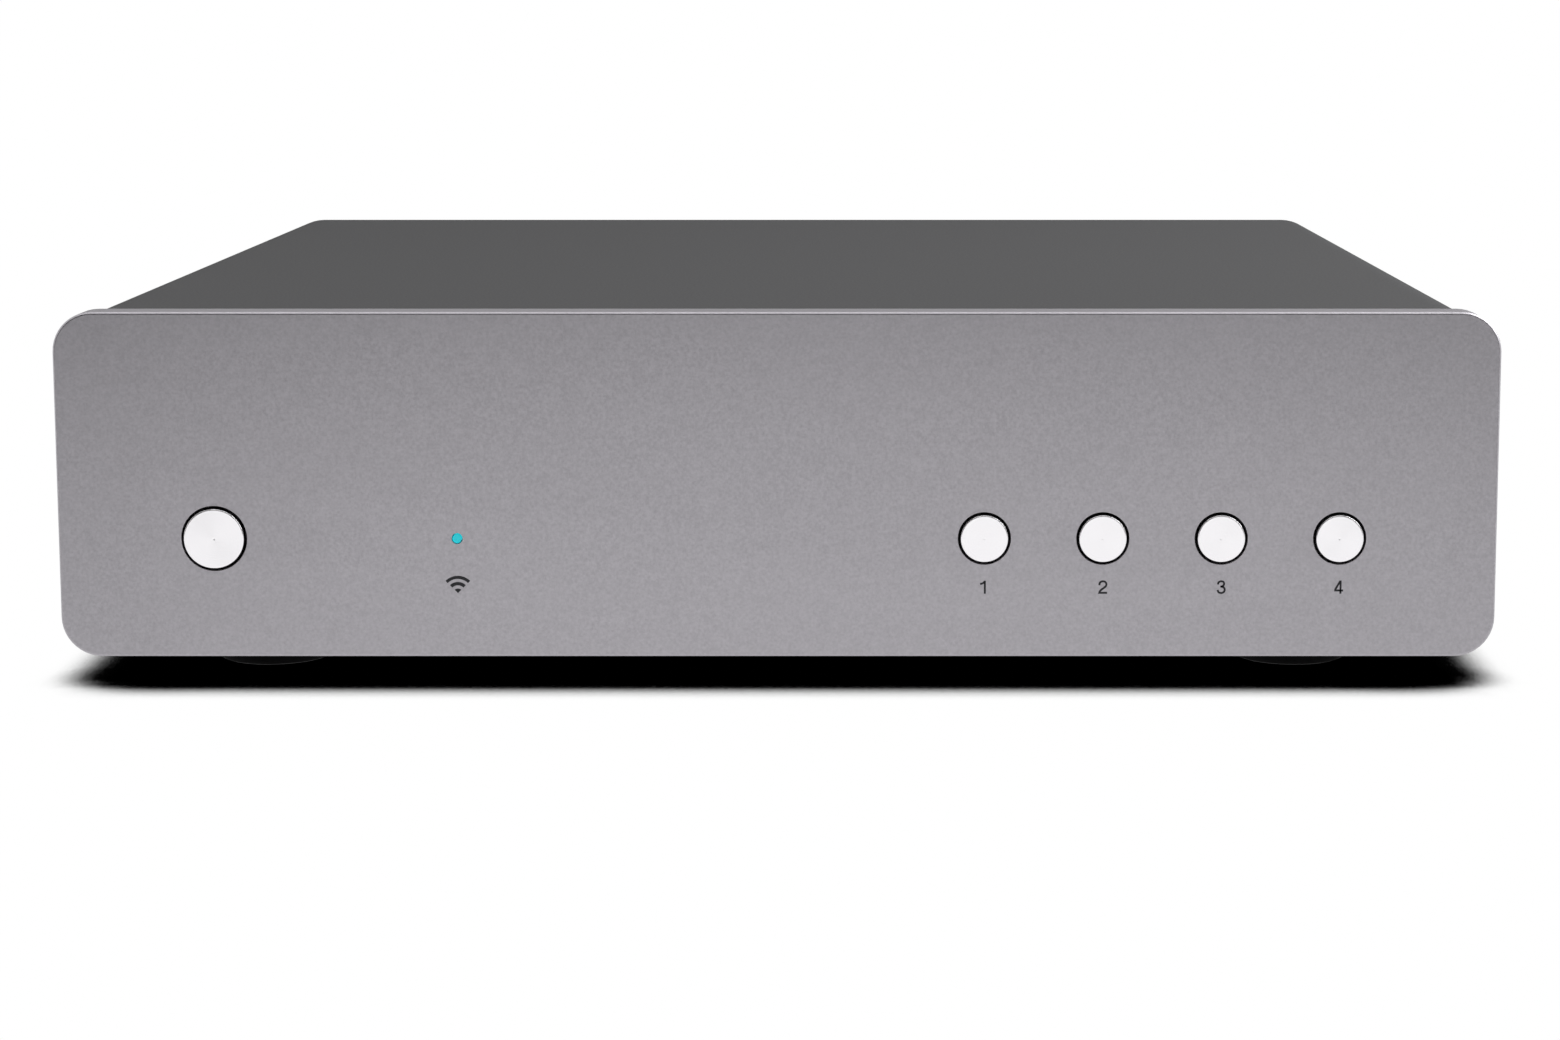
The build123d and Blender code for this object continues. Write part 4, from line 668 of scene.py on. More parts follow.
def screw_tree(slot):
    """A screw on each point: a domed head with a cross recess, and a threaded shank."""
    rod_tree, rod_end = thread_tree()
    add(rod_tree, "NodeGroupOutput", {0: rod_end})
    tree, size = geometry_tree("screws", {
        "Head Radius": 2.8 * MM, "Head Height": 1.8 * MM, "Shank Radius": 1.5 * MM, "Shank Length": 5.0 * MM,
        "Pitch": 0.5 * MM, "Recess Share": 0.62,
    })
    place = add(tree, "GeometryNodeInputPosition")
    parts = add(tree, "ShaderNodeSeparateXYZ", {0: place})
    values = work_out(tree, size | dict(parts.outputs.items()), [
        ("share", "DIVIDE", "Z", "Head Height"),
        ("rise", "ADD", "share", 0.5),
        ("steep rise", "POWER", "rise", 3.0),
        ("taper", "MULTIPLY", "steep rise", 0.24),
        ("dome", "SUBTRACT", 1.0, "taper"),
        ("half height", "MULTIPLY", "Head Height", 0.5),
        ("across", "MULTIPLY", "X", "dome"),
        ("along", "MULTIPLY", "Y", "dome"),
        ("up", "ADD", "Z", "half height"),
        ("long side", "MULTIPLY", "Head Radius", 1.15),
        ("short side", "MULTIPLY", "Head Radius", 0.24),
        ("recess depth", "MULTIPLY", "Head Height", "Recess Share"),
        ("bar depth", "MULTIPLY", "recess depth", 2.0),
        ("root radius", "MULTIPLY", "Shank Radius", 0.82),
        ("down", "MULTIPLY", "Shank Length", -1.0),
    ])
    head = add(tree, "GeometryNodeMeshCylinder", {
        "Vertices": 32, "Side Segments": 5, "Fill Segments": 1, "Radius": size["Head Radius"],
        "Depth": size["Head Height"],
    })
    shaped = add(tree, "ShaderNodeCombineXYZ", {0: values["across"], 1: values["along"], 2: values["up"]})
    domed = add(tree, "GeometryNodeSetPosition", {"Geometry": head, "Position": shaped})
    lift = add(tree, "ShaderNodeCombineXYZ", {2: size["Head Height"]})
    bars = []
    for across, along in (("long side", "short side"), ("short side", "long side")):
        extent = {0: values[across], 1: values[along], 2: values["bar depth"]}
        bar = add(tree, "GeometryNodeMeshCube", {"Size": add(tree, "ShaderNodeCombineXYZ", extent)})
        bars.append(add(tree, "GeometryNodeTransform", {0: bar, "Translation": lift}))
    cut = add(tree, "GeometryNodeMeshBoolean", {"Mesh 1": domed, "Mesh 2": bars}, operation="DIFFERENCE")
    around = 16
    rod = add(tree, "GeometryNodeGroup", {
        "Length": size["Shank Length"], "Crest Radius": size["Shank Radius"],
        "Root Radius": values["root radius"], "Pitch": size["Pitch"], "Around": around, "Along": 40,
    }, node_tree=rod_tree)
    end = add(tree, "GeometryNodeMeshCircle", {
        "Vertices": around, "Radius": values["root radius"],
    }, fill_type="NGON")
    lower_end = add(tree, "GeometryNodeFlipFaces", {"Mesh": end})
    upper_place = add(tree, "ShaderNodeCombineXYZ", {2: size["Shank Length"]})
    upper_end = add(tree, "GeometryNodeTransform", {0: end, "Translation": upper_place})
    ended_rod = add(tree, "GeometryNodeJoinGeometry", {0: [rod, lower_end, upper_end]})
    sealed = add(tree, "GeometryNodeMergeByDistance", {0: ended_rod, "Distance": 0.001 * MM})
    drop = add(tree, "ShaderNodeCombineXYZ", {2: values["down"]})
    shank = add(tree, "GeometryNodeTransform", {0: sealed, "Translation": drop})
    whole = add(tree, "GeometryNodeJoinGeometry", {0: [cut, shank]})
    outwards = add(tree, "GeometryNodeInputNamedAttribute", {"Name": "outwards"}, data_type="FLOAT_VECTOR")
    turn = add(tree, "FunctionNodeAlignRotationToVector", {"Vector": outwards}, axis="Z")
    placed = add(tree, "GeometryNodeInstanceOnPoints", {
        "Points": size["Geometry"], "Instance": whole, "Rotation": turn,
    })
    return give(tree, placed, slot)


def contact_tree(slot):
    """A row of bent round wires along X, each the line that the seed mesh draws."""
    tree, size = geometry_tree("contacts", {
        "Count": 8, "Spacing": 1.0 * MM, "Wire Radius": 0.2 * MM, "Bend Radius": 0.5 * MM,
    })
    line = add(tree, "GeometryNodeMeshToCurve", {0: size["Geometry"]})
    bent = add(tree, "GeometryNodeFilletCurve", {
        "Curve": line, "Radius": size["Bend Radius"], "Count": 4, "Limit Radius": True,
    }, mode="POLY")
    ring = add(tree, "GeometryNodeCurvePrimitiveCircle", {"Resolution": 8, "Radius": size["Wire Radius"]})
    wire = add(tree, "GeometryNodeCurveToMesh", {"Curve": bent, "Profile Curve": ring, "Fill Caps": True})
    step = add(tree, "ShaderNodeCombineXYZ", {0: size["Spacing"]})
    row = add(tree, "GeometryNodeMeshLine", {"Count": size["Count"], "Offset": step})
    placed = add(tree, "GeometryNodeInstanceOnPoints", {"Points": row, "Instance": wire})
    return give(tree, placed, slot)


def part_tree(slot, is_round):
    """A small board part on each point, a block or a can, stretched to the point's own extent."""
    tree, size = geometry_tree("board parts", {"Sides": 24})
    if is_round:
        form = add(tree, "GeometryNodeMeshCylinder", {"Vertices": size["Sides"], "Radius": 0.5, "Depth": 1.0})
    else:
        form = add(tree, "GeometryNodeMeshCube", {"Size": (1.0, 1.0, 1.0)})
    stood = add(tree, "GeometryNodeTransform", {0: form, "Translation": (0.0, 0.0, 0.5)})
    extent = add(tree, "GeometryNodeInputNamedAttribute", {"Name": "extent"}, data_type="FLOAT_VECTOR")
    placed = add(tree, "GeometryNodeInstanceOnPoints", {
        "Points": size["Geometry"], "Instance": stood, "Scale": extent,
    })
    return give(tree, placed, slot)


def loose_shapes(node):
    """The corners of each loose shape in a node."""
    shape = bmesh.new()
    shape.from_mesh(frame["nodes"][node].data)
    bmesh.ops.remove_doubles(shape, verts=shape.verts, dist=0.001 * MM)
    left = dict.fromkeys(shape.verts)
    found = []
    while left:
        island, edge = [], [left.popitem()[0]]
        while edge:
            vertex = edge.pop()
            island.append(vertex.co.copy())
            for link in vertex.link_edges:
                other = link.other_vert(vertex)
                if other in left:
                    del left[other]
                    edge.append(other)
        found.append(island)
    shape.free()
    return found


def screw_seat(points):
    """Where one six-sided screw sits and how large it is. Its axis is where both ends have six corners."""
    same = 0.002 * MM
    for axis in range(3):
        heights = sorted(set(round(point[axis], 6) for point in points))
        ends = [[point for point in points if abs(point[axis] - height) < same] for height in heights]
        ends = [ends[0], ends[-1]]
        if min(map(len, ends)) < 6:
            continue
        middles = [sum(end, Vector()) / len(end) for end in ends]
        radii = [max((point - at).length for point in end) for end, at in zip(ends, middles)]
        head_is_high = radii[1] > radii[0]
        head, tip = (heights[-1], heights[0]) if head_is_high else (heights[0], heights[-1])
        seat = middles[0].copy()
        seat[axis] = heights[1]
        outwards = Vector()
        outwards[axis] = 1.0 if head_is_high else -1.0
        sizes = {
            "head_radius": max(radii), "head_height": abs(head - heights[1]), "shank_radius": min(radii),
            "shank_length": abs(tip - heights[1]),
        }
        return seat, outwards, sizes
    raise ValueError("A screw has no six-sided ends")


# Centre lines of the figures, in shares of the figure's height from the middle of its foot
FIGURES = {
    1: [
        smooth_line([(-0.31, 0.745), (-0.15, 0.775), (-0.02, 0.86), (0.03, 0.93)]),
        [(0.05, 0.99), (0.05, 0.0)],
    ],
    2: [
        smooth_line([
            (-0.225, 0.64), (-0.2, 0.81), (-0.08, 0.92), (0.07, 0.94), (0.22, 0.89), (0.3, 0.74),
            (0.26, 0.58), (0.1, 0.43), (-0.07, 0.31), (-0.19, 0.17), (-0.225, 0.065),
        ]) + [(0.36, 0.065)],
    ],
    3: [
        smooth_line([
            (-0.2, 0.70), (-0.16, 0.85), (-0.04, 0.93), (0.08, 0.94), (0.21, 0.89), (0.26, 0.76),
            (0.21, 0.62), (0.09, 0.55), (-0.02, 0.545),
        ]),
        smooth_line([
            (-0.02, 0.545), (0.11, 0.53), (0.25, 0.46), (0.31, 0.31), (0.25, 0.14), (0.11, 0.06),
            (-0.02, 0.06), (-0.16, 0.13), (-0.22, 0.29),
        ]),
    ],
    4: [[(0.13, 0.0), (0.13, 0.93), (0.09, 0.93), (-0.26, 0.32), (-0.26, 0.245), (0.33, 0.245)]],
}
# The wireless sign in shares of its radius: its two arcs by their outer and inner radius, and its dot
SIGN_ARCS = ((1.0, 0.82), (0.645, 0.45))
SIGN_DOT = 0.265


class STREAMER_OT_front_panel(bpy.types.Operator):
    """Finish the front panel, and print the figures and the wireless sign on it"""

    bl_idname = "streamer.front_panel"
    bl_label = "Front Panel"

    def execute(self, context):
        sizes = context.scene.streamer_sizes
        edge_nodes(["front_panel"], sizes.plate_round)
        height = sizes.figure_height
        for number, lines in FIGURES.items():
            button = middle(f"preset_button_{number}_cap")
            foot = button.z - sizes.figure_drop - height / 2
            placed = [[(button.x + x * height, foot + z * height) for x, z in line] for line in lines]
            outlines = [stroke(points, sizes.figure_stroke) for points in placed]
            self.put(f"printed_figure_{number}", outlines, sizes.ink_thickness)

        light = middle("status_led")
        tip = (light.x, light.z - sizes.sign_drop)
        radius = sizes.sign_radius
        outlines = [
            stroke(fan(tip, radius * (outer + inner) / 2, 24), radius * (outer - inner))
            for outer, inner in SIGN_ARCS
        ]
        outlines.append([tip, *fan(tip, radius * SIGN_DOT, 8)])
        self.put("printed_wireless_sign", outlines, sizes.ink_thickness)
        return {"FINISHED"}

    def put(self, name, outlines, thickness):
        """Prints closed outlines on the panel's face as one piece."""
        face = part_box("front_panel")[0].y
        flats = [
            tube("print", [(face - thickness, outline), (face + thickness, outline)]) for outline in outlines
        ]
        settle(new_piece(name, joined(name, flats)), "case", "black_moulding", finish="printed_ink")


class STREAMER_OT_buttons(bpy.types.Operator):
    """Turn the five button caps, and finish what lies behind them and the status light"""

    bl_idname = "streamer.buttons"
    bl_label = "Buttons"

    def execute(self, context):
        edge = 0.2 * MM
        mark_radius = 0.22 * MM
        mark_depth = 0.04 * MM
        for button in BUTTONS:
            node = f"{button}_cap"
            low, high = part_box(node)
            radius = (high.x - low.x) / 2
            # The lathe's small centre mark, then the flat face, which two rings close to its ends keep even
            profile = [
                (low.y + mark_depth, 0), (low.y + mark_depth * 0.6, mark_radius * 0.6),
                (low.y, mark_radius), (low.y, mark_radius * 1.3), (low.y, radius - edge * 1.4),
                *near_round(low.y, radius, edge), (high.y, radius), (high.y, 0),
            ]
            cap = new_piece(f"{node}_turned", turned([profile], middle(node), 128))
            settle(cap, BODY_OF[node], "turned_cap", node)
        moulded = context.scene.streamer_sizes.moulded_round
        stems = ["power_switch_stem"] + [f"preset_switch_{number}_stem" for number in PRESET_NUMBERS]
        edge_nodes([
            *[f"{button}_plunger" for button in BUTTONS], *stems, "tact_switch_bodies",
            "power_button_guide", "preset_button_guide",
        ], moulded)
        edge_nodes(["status_light_pipe", "status_led"], moulded / 2)
        return {"FINISHED"}


class STREAMER_OT_case(bpy.types.Operator):
    """Finish the cover, the tray, the rear panel and the feet"""

    bl_idname = "streamer.case"
    bl_label = "Case"

    def execute(self, context):
        sizes = context.scene.streamer_sizes
        feet = [f"foot_{end}_{side}" for end in ("front", "rear") for side in ("left", "right")]
        edge_nodes(["wrap_cover", "base_tray", "rear_panel"], sizes.sheet_round)
        edge_nodes(feet, sizes.rubber_round)
        return {"FINISHED"}


class STREAMER_OT_screws(bpy.types.Operator):
    """Set a screw with a cross recess wherever the frame has one"""

    bl_idname = "streamer.screws"
    bl_label = "Screws"

    def execute(self, context):
        pitch = context.scene.streamer_sizes.screw_pitch
        for node in ("foot_screws", "case_screws", "inner_screws"):
            slot = SLOT_OF[node]
            tree = screw_tree(slot)
            kinds = {}
            for seat, outwards, sizes in map(screw_seat, loose_shapes(node)):
                key = tuple(round(size, 6) for size in sizes.values())
                kinds.setdefault(key, (sizes, [], []))
                kinds[key][1].append(seat)
                kinds[key][2].append(outwards)
            meshes = [
                grown(point_mesh(seats, outwards=directions), tree, pitch=pitch, **sizes)
                for sizes, seats, directions in kinds.values()
            ]
            screws = new_piece(f"{node}_cut", shaded(joined(node, meshes)))
            settle(screws, BODY_OF[node], slot, node)
        return {"FINISHED"}


class STREAMER_OT_antenna_sockets(bpy.types.Operator):
    """Thread the two antenna sockets and finish their nuts and pigtails"""

    bl_idname = "streamer.antenna_sockets"
    bl_label = "Antenna Sockets"

    def execute(self, context):
        sizes = context.scene.streamer_sizes
        tree, rod = thread_tree()
        give(tree, rod, "gold_brass")
        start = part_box("antenna_nuts")[1].y + 0.3 * MM
        base_radius = 3.4 * MM
        crest_radius = 3.1 * MM
        root_radius = crest_radius - sizes.thread_depth
        shoulder = 0.1 * MM
        flange_depth = 5.0 * MM
        bore_radius = 2.3 * MM
        bore_depth = 7.0 * MM
        lip = 0.15 * MM
        lining_radius = 2.05 * MM
        lining_length = 1.5 * MM
        pin_radius = 0.45 * MM
        pin_length = 5.0 * MM
        pin_taper = 0.3 * MM
        around = 48
        for side in ("left", "right"):
            node = f"antenna_socket_{side}"
            low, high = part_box(node)
            axis = middle(node)
            flange_back, flange_radius = low.y + flange_depth, (high.x - low.x) / 2
            end, floor = high.y, high.y - bore_depth
            pin_end, lining_end = floor + pin_length, floor + lining_length
            thread = grown(
                point_mesh([(0, 0, 0)]), tree, length=end - start, crest_radius=crest_radius,
                root_radius=root_radius, pitch=sizes.thread_pitch, around=around, along=96,
            )
            lie_along = Matrix.Rotation(-math.pi / 2, 4, "X")
            thread.transform(Matrix.Translation((axis.x, start, axis.z)) @ lie_along)
            mouth = turned([
                [(end, root_radius), (end, bore_radius + lip), (end - lip, bore_radius),
                 (floor, bore_radius), (floor, 0)],
                [(flange_back, 0), (flange_back, base_radius), (start - shoulder, base_radius),
                 (start, root_radius)],
            ], axis, around)
            pin = turned([[
                (floor, 0), (floor, pin_radius), (pin_end - pin_taper, pin_radius),
                (pin_end, pin_radius / 2), (pin_end, 0),
            ]], axis, 24)
            flange = turned([[
                (low.y, 0), (low.y, flange_radius), (flange_back, flange_radius), (flange_back, 0),
            ]], axis, 6)
            whole = joined(node, [thread, mouth, pin, flange])
            settle(new_piece(f"{node}_threaded", shaded(whole)), BODY_OF[node], SLOT_OF[node], node)
            lining = new_piece(f"{node}_lining", turned([[
                (floor, pin_radius), (lining_end, pin_radius), (lining_end, lining_radius),
                (floor, lining_radius), (floor, pin_radius),
            ]], axis, 32))
            settle(lining, BODY_OF[node], "white_contact_carrier", finish="white_insulator")
        edge_nodes(["antenna_nuts"], 0.25 * MM)
        edge_nodes(["antenna_pigtails"], 0.2 * MM)
        return {"FINISHED"}


class STREAMER_OT_network_sockets(bpy.types.Operator):
    """Finish the ethernet and USB jacks, with their linings and contacts"""

    bl_idname = "streamer.network_sockets"
    bl_label = "Network Sockets"

    def execute(self, context):
        moulded = context.scene.streamer_sizes.moulded_round
        edge_nodes(["ethernet_jack", "usb_jack", "usb_tongue"], moulded)
        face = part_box("ethernet_jack")[1].y
        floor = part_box("ethernet_jack")[0].z + 2.2 * MM
        self.ethernet_lining(middle("ethernet_jack").x, floor, face)
        self.ethernet_contacts(middle("ethernet_jack").x, floor, face)
        self.usb_contacts()
        return {"FINISHED"}

    def ethernet_lining(self, x, floor, face):
        """A black moulding that lines the jack's mouth, as a sleeve open to the back of the streamer."""
        width = 11.9 * MM
        height = 7.2 * MM
        gap = 0.02 * MM
        wall = 0.35 * MM
        depth = 12.8 * MM
        recess = 0.25 * MM
        notch = [(3.1 * MM, 0), (3.1 * MM, 1.6 * MM), (1.7 * MM, 1.6 * MM), (1.7 * MM, 2.7 * MM)]

        def outline(inset, notch_inset):
            half, top = width / 2 - inset, floor + height - inset
            right = [(half, floor + inset), (half, top)]
            right += [(across - notch_inset, top + up) for across, up in notch]
            whole = right + [(-across, up) for across, up in reversed(right)]
            return [(x + across, up) for across, up in whole]

        outer, inner = outline(gap, gap), outline(gap + wall, wall)
        front, back = face - recess, face - depth
        sleeve = tube("lining", [(back, outer), (front, outer), (front, inner), (back + wall, inner)])
        settle(new_piece("ethernet_lining", shaded(sleeve)), "case", "phono_moulding")

    def ethernet_contacts(self, x, floor, face):
        """Eight gold wires that rise from the mouth's floor towards its back."""
        count = 8
        spacing = 1.02 * MM
        first = x - spacing * (count - 1) / 2
        # How deep and how high a wire is at its front end, its bend, its crest and its back end
        bends = [
            (2.2 * MM, 0.62 * MM), (3.4 * MM, 0.75 * MM), (10.0 * MM, 3.6 * MM), (11.6 * MM, 2.4 * MM),
        ]
        line = line_mesh([(first, face - depth, floor + up) for depth, up in bends])
        mesh = grown(line, contact_tree("gold_brass"), count=count, spacing=spacing, wire_radius=0.22 * MM)
        settle(new_piece("ethernet_contacts", shaded(mesh)), "case", "gold_brass")

    def usb_contacts(self):
        """Four flat gold contacts under the USB tongue."""
        x, tip = middle("usb_tongue").x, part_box("usb_tongue")[1].y
        sizes = (1.1 * MM, 7.0 * MM, 0.12 * MM)
        depth = 4.2 * MM
        tongue = frame["nodes"]["usb_tongue"].data
        underside = min(vertex.co.z for vertex in tongue.vertices if vertex.co.y > tip - 1.0 * MM)
        boxes = [
            ((x + across, tip - depth, underside), sizes)
            for across in (-3.5 * MM, -1.0 * MM, 1.0 * MM, 3.5 * MM)
        ]
        settle(new_piece("usb_contacts", box_mesh(boxes)), "case", "gold_brass")


class STREAMER_OT_audio_sockets(bpy.types.Operator):
    """Turn the phono sockets with their coloured rings, and finish the optical jack and its shutter"""

    bl_idname = "streamer.audio_sockets"
    bl_label = "Audio Sockets"

    def execute(self, context):
        wall = 0.5 * MM
        lip = 0.15 * MM
        groove_place = 2.2 * MM
        groove_depth = 0.12 * MM
        groove_floor = 0.35 * MM
        groove_mouth = 0.5 * MM
        core_recess = 1.0 * MM
        bore_radius = 1.7 * MM
        ring_gap = 0.06 * MM
        ring_rim = 0.35 * MM
        ring_back = 0.3 * MM
        crown = 0.12 * MM
        contact_radius = bore_radius - 0.02 * MM
        contact_bore = bore_radius - 0.25 * MM
        contact_depth = 9.0 * MM
        contact_start = 0.5 * MM
        contact_taper = 0.2 * MM
        finishes = {
            "line_out_left": "white_insulator", "line_out_right": "red_insulator",
            "coax_out": "orange_insulator",
        }
        for socket, finish in finishes.items():
            node = f"{socket}_shell"
            low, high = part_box(node)
            axis = middle(node)
            radius = (high.x - low.x) / 2
            inner = radius - wall
            groove, groove_radius = high.y - groove_place, radius - groove_depth
            shell = turned([[
                (low.y, inner), (low.y, radius), (groove - groove_mouth, radius),
                (groove - groove_floor, groove_radius), (groove + groove_floor, groove_radius),
                (groove + groove_mouth, radius), *far_round(high.y, radius, lip), (high.y, inner + lip),
                (high.y - lip, inner), (low.y, inner),
            ]], axis, 80)
            settle(new_piece(f"{node}_turned", shell), BODY_OF[node], SLOT_OF[node], node)
            face = high.y - core_recess
            back, ring_radius = face - ring_back, inner - ring_gap
            ring = turned([[
                (back, bore_radius), (face + crown / 2, bore_radius), (face + crown, bore_radius + ring_rim),
                (face + crown, ring_radius - ring_rim), (face + crown / 6, ring_radius),
                (back, ring_radius), (back, bore_radius),
            ]], axis, 80)
            settle(new_piece(f"{socket}_insulator", ring), "case", "phono_moulding", finish=finish)
            front, deep = face - contact_start, face - contact_depth
            contact = turned([[
                (deep, contact_radius), (front, contact_radius), (front - contact_taper, contact_bore),
                (deep, contact_bore), (deep, contact_radius),
            ]], axis, 48)
            settle(new_piece(f"{socket}_contact", contact), "case", "gold_brass")
        fine = context.scene.streamer_sizes.moulded_round * 0.8
        edge_nodes(["line_out_body", "coax_out_body", "optical_jack", "optical_shutter"], fine)
        return {"FINISHED"}


class STREAMER_OT_mains_inlet(bpy.types.Operator):
    """Finish the mains inlet and round the ends of its pins"""

    bl_idname = "streamer.mains_inlet"
    bl_label = "Mains Inlet"

    def execute(self, context):
        edge_nodes(["mains_inlet"], context.scene.streamer_sizes.moulded_round * 1.2)
        low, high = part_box("inlet_pins")
        pin_radius = (high.z - low.z) / 2
        recess_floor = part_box("mains_inlet")[1].y - 13.6 * MM
        tip_round = 0.7 * MM
        lug = (0.8 * MM, recess_floor - low.y, 2 * pin_radius)
        meshes = []
        for x in (low.x + pin_radius, high.x - pin_radius):
            axis = Vector((x, (recess_floor + low.y) / 2, middle("inlet_pins").z))
            tip = far_round(high.y, pin_radius, tip_round, steps=6)
            meshes.append(turned([[
                (recess_floor, 0), (recess_floor, pin_radius), *tip, (high.y, 0),
            ]], axis, 48))
            meshes.append(box_mesh([(axis, lug)]))
        pins = new_piece("inlet_pins_turned", shaded(joined("inlet_pins", meshes)))
        settle(pins, "case", "nickel_pin", "inlet_pins")
        return {"FINISHED"}


class STREAMER_OT_boards(bpy.types.Operator):
    """Finish the boards, the module, the heatsink, the ribbon's sockets and the standoffs"""

    bl_idname = "streamer.boards"
    bl_label = "Boards"

    def execute(self, context):
        edge_nodes([
            "front_board", "main_board", "network_module", "network_shield", "processor_heatsink",
            "ribbon_sockets", "board_standoffs",
        ], context.scene.streamer_sizes.moulded_round / 2)
        return {"FINISHED"}


# Small parts on the boards, in millimetres: across and along from the board's front left corner, then width,
# depth and height
CHIPS = {
    "main_board": [
        (51.5, 53, 9, 13, 1), (51.5, 69, 9, 13, 1), (30, 88, 12, 18, 1.1), (40, 108, 12.5, 7.6, 3.4),
        (49, 96, 7, 7, 0.9), (92, 108, 5, 4, 1.6), (100, 108, 5, 4, 1.6), (108, 108, 5, 4, 1.6),
        (14, 22, 6.6, 6.6, 2.3), (12, 62, 6.6, 6.6, 2.3), (62, 112, 5, 6, 1.2), (56, 30, 7, 7, 0.9),
        (9, 49, 6, 6, 3), (26, 24, 6, 6, 3), (18, 104, 8, 6, 1.6),
    ],
    "psu_board": [
        (28, 88, 8.2, 6.2, 2.6), (38, 38, 5, 4, 1.6), (33, 78, 6.5, 4.6, 3.5), (20, 34, 10, 9, 4.4),
    ],
}
CANS = {
    "main_board": [
        *[(across, 96, 6.3, 6.3, 5.6) for across in (84, 92, 100, 108)], (22, 36, 5, 5, 5.4),
        (12, 76, 5, 5, 5.4), (60, 16, 5, 5, 5.4), (78, 118, 5, 5, 5.4), (118, 60, 6.3, 6.3, 5.6),
    ],
    "psu_board": [(36, 20, 6.3, 6.3, 5.6)],
}
# Each can stands on a foot a little wider than itself
CAN_FEET = {
    board: [(across, along, width + 0.4, depth + 0.4, 0.9) for across, along, width, depth, _ in cans]
    for board, cans in CANS.items()
}
# Each chip has a column of ceramic capacitors at its left and its right, 2.2 mm apart
CHIP_CAPACITORS = {
    board: [
        (across + (width / 2 + 1.6) * side, along + step * 2.2, 0.9, 1.7, 0.8)
        for across, along, width, depth, _ in chips
        for side in (-1, 1) for step in range(-int(depth / 4.4), int(depth / 4.4) + 1)
    ] for board, chips in CHIPS.items()
}


class STREAMER_OT_board_parts(bpy.types.Operator):
    """Set chips, small cans and chip capacitors on the two boards"""

    bl_idname = "streamer.board_parts"
    bl_label = "Board Parts"

    def execute(self, context):
        self.place("board_chips", CHIPS, "switch_body", "black_epoxy", False)
        self.place("board_cans", CANS, "tinned_shield", "bare_aluminium_can", True)
        self.place("board_can_feet", CAN_FEET, "switch_body", "black_epoxy", False)
        self.place("board_chip_capacitors", CHIP_CAPACITORS, "ferrite", "tan_ceramic", False)
        return {"FINISHED"}

    def place(self, name, parts, slot, finish, is_round):
        """Sets like parts on both boards as one piece."""
        board_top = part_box("psu_capacitors")[0].z
        spots, extents = [], []
        for board, rows in parts.items():
            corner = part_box(board)[0]
            for across, along, *sizes in rows:
                spots.append((corner.x + across * MM, corner.y + along * MM, board_top))
                extents.append([size * MM for size in sizes])
        mesh = grown(point_mesh(spots, extent=extents), part_tree(finish, is_round))
        settle(new_piece(name, shaded(mesh)), "case", slot, finish=finish)


class STREAMER_OT_supply(bpy.types.Operator):
    """Finish the supply board, its transformer, its leads and its sleeved capacitors"""

    bl_idname = "streamer.supply"
    bl_label = "Power Supply"

    def execute(self, context):
        moulded = context.scene.streamer_sizes.moulded_round
        edge_nodes(["psu_board", "psu_transformer", "psu_insulation_sheet"], moulded / 2)
        edge_nodes(["internal_leads"], 0.3 * MM)
        foot_round = 0.3 * MM
        groove_depth = 0.35 * MM
        groove_slope = 0.4 * MM
        groove_floor = 0.5 * MM
        rim = 0.7 * MM
        top_recess = 0.15 * MM
        sheet = 0.03 * MM
        top_thickness = 0.15 * MM
        sleeves, tops = [], []
        for points in loose_shapes("psu_capacitors"):
            low, high = (
                Vector(pick(point[axis] for point in points) for axis in range(3)) for pick in (min, max)
            )
            radius, height = (high.x - low.x) / 2, high.z - low.z
            groove, groove_end = height * 0.12, height * 0.12 + 2 * groove_slope + groove_floor
            top_radius, lid = radius * 0.86 - rim, height - top_recess
            stand_up = Matrix.Translation(((low.x + high.x) / 2, (low.y + high.y) / 2, low.z))
            stand_up @= Matrix.Rotation(math.pi / 2, 4, "X")
            sleeves.append(turned([[
                (0, 0), (0, radius - foot_round), (foot_round, radius), (groove, radius),
                (groove + groove_slope, radius - groove_depth),
                (groove_end - groove_slope, radius - groove_depth), (groove_end, radius),
                (lid - 3 * top_recess, radius), (lid, radius - 2 * top_recess),
                (height, radius - rim), (height, top_radius), (lid, top_radius - top_recess / 3), (lid, 0),
            ]], Vector(), 64))
            tops.append(turned([[
                (lid - top_thickness, 0), (lid - top_thickness, top_radius), (lid + sheet, top_radius),
                (lid + sheet, 0),
            ]], Vector(), 48))
            for mesh in (sleeves[-1], tops[-1]):
                mesh.transform(stand_up)
        sleeves_piece = new_piece("psu_capacitor_sleeves", shaded(joined("psu_capacitor_sleeves", sleeves)))
        settle(sleeves_piece, "case", "sleeved_can", "psu_capacitors")
        tops_piece = new_piece("psu_capacitor_tops", shaded(joined("psu_capacitor_tops", tops)))
        settle(tops_piece, "case", "sleeved_can", finish="bare_aluminium_can")
        return {"FINISHED"}


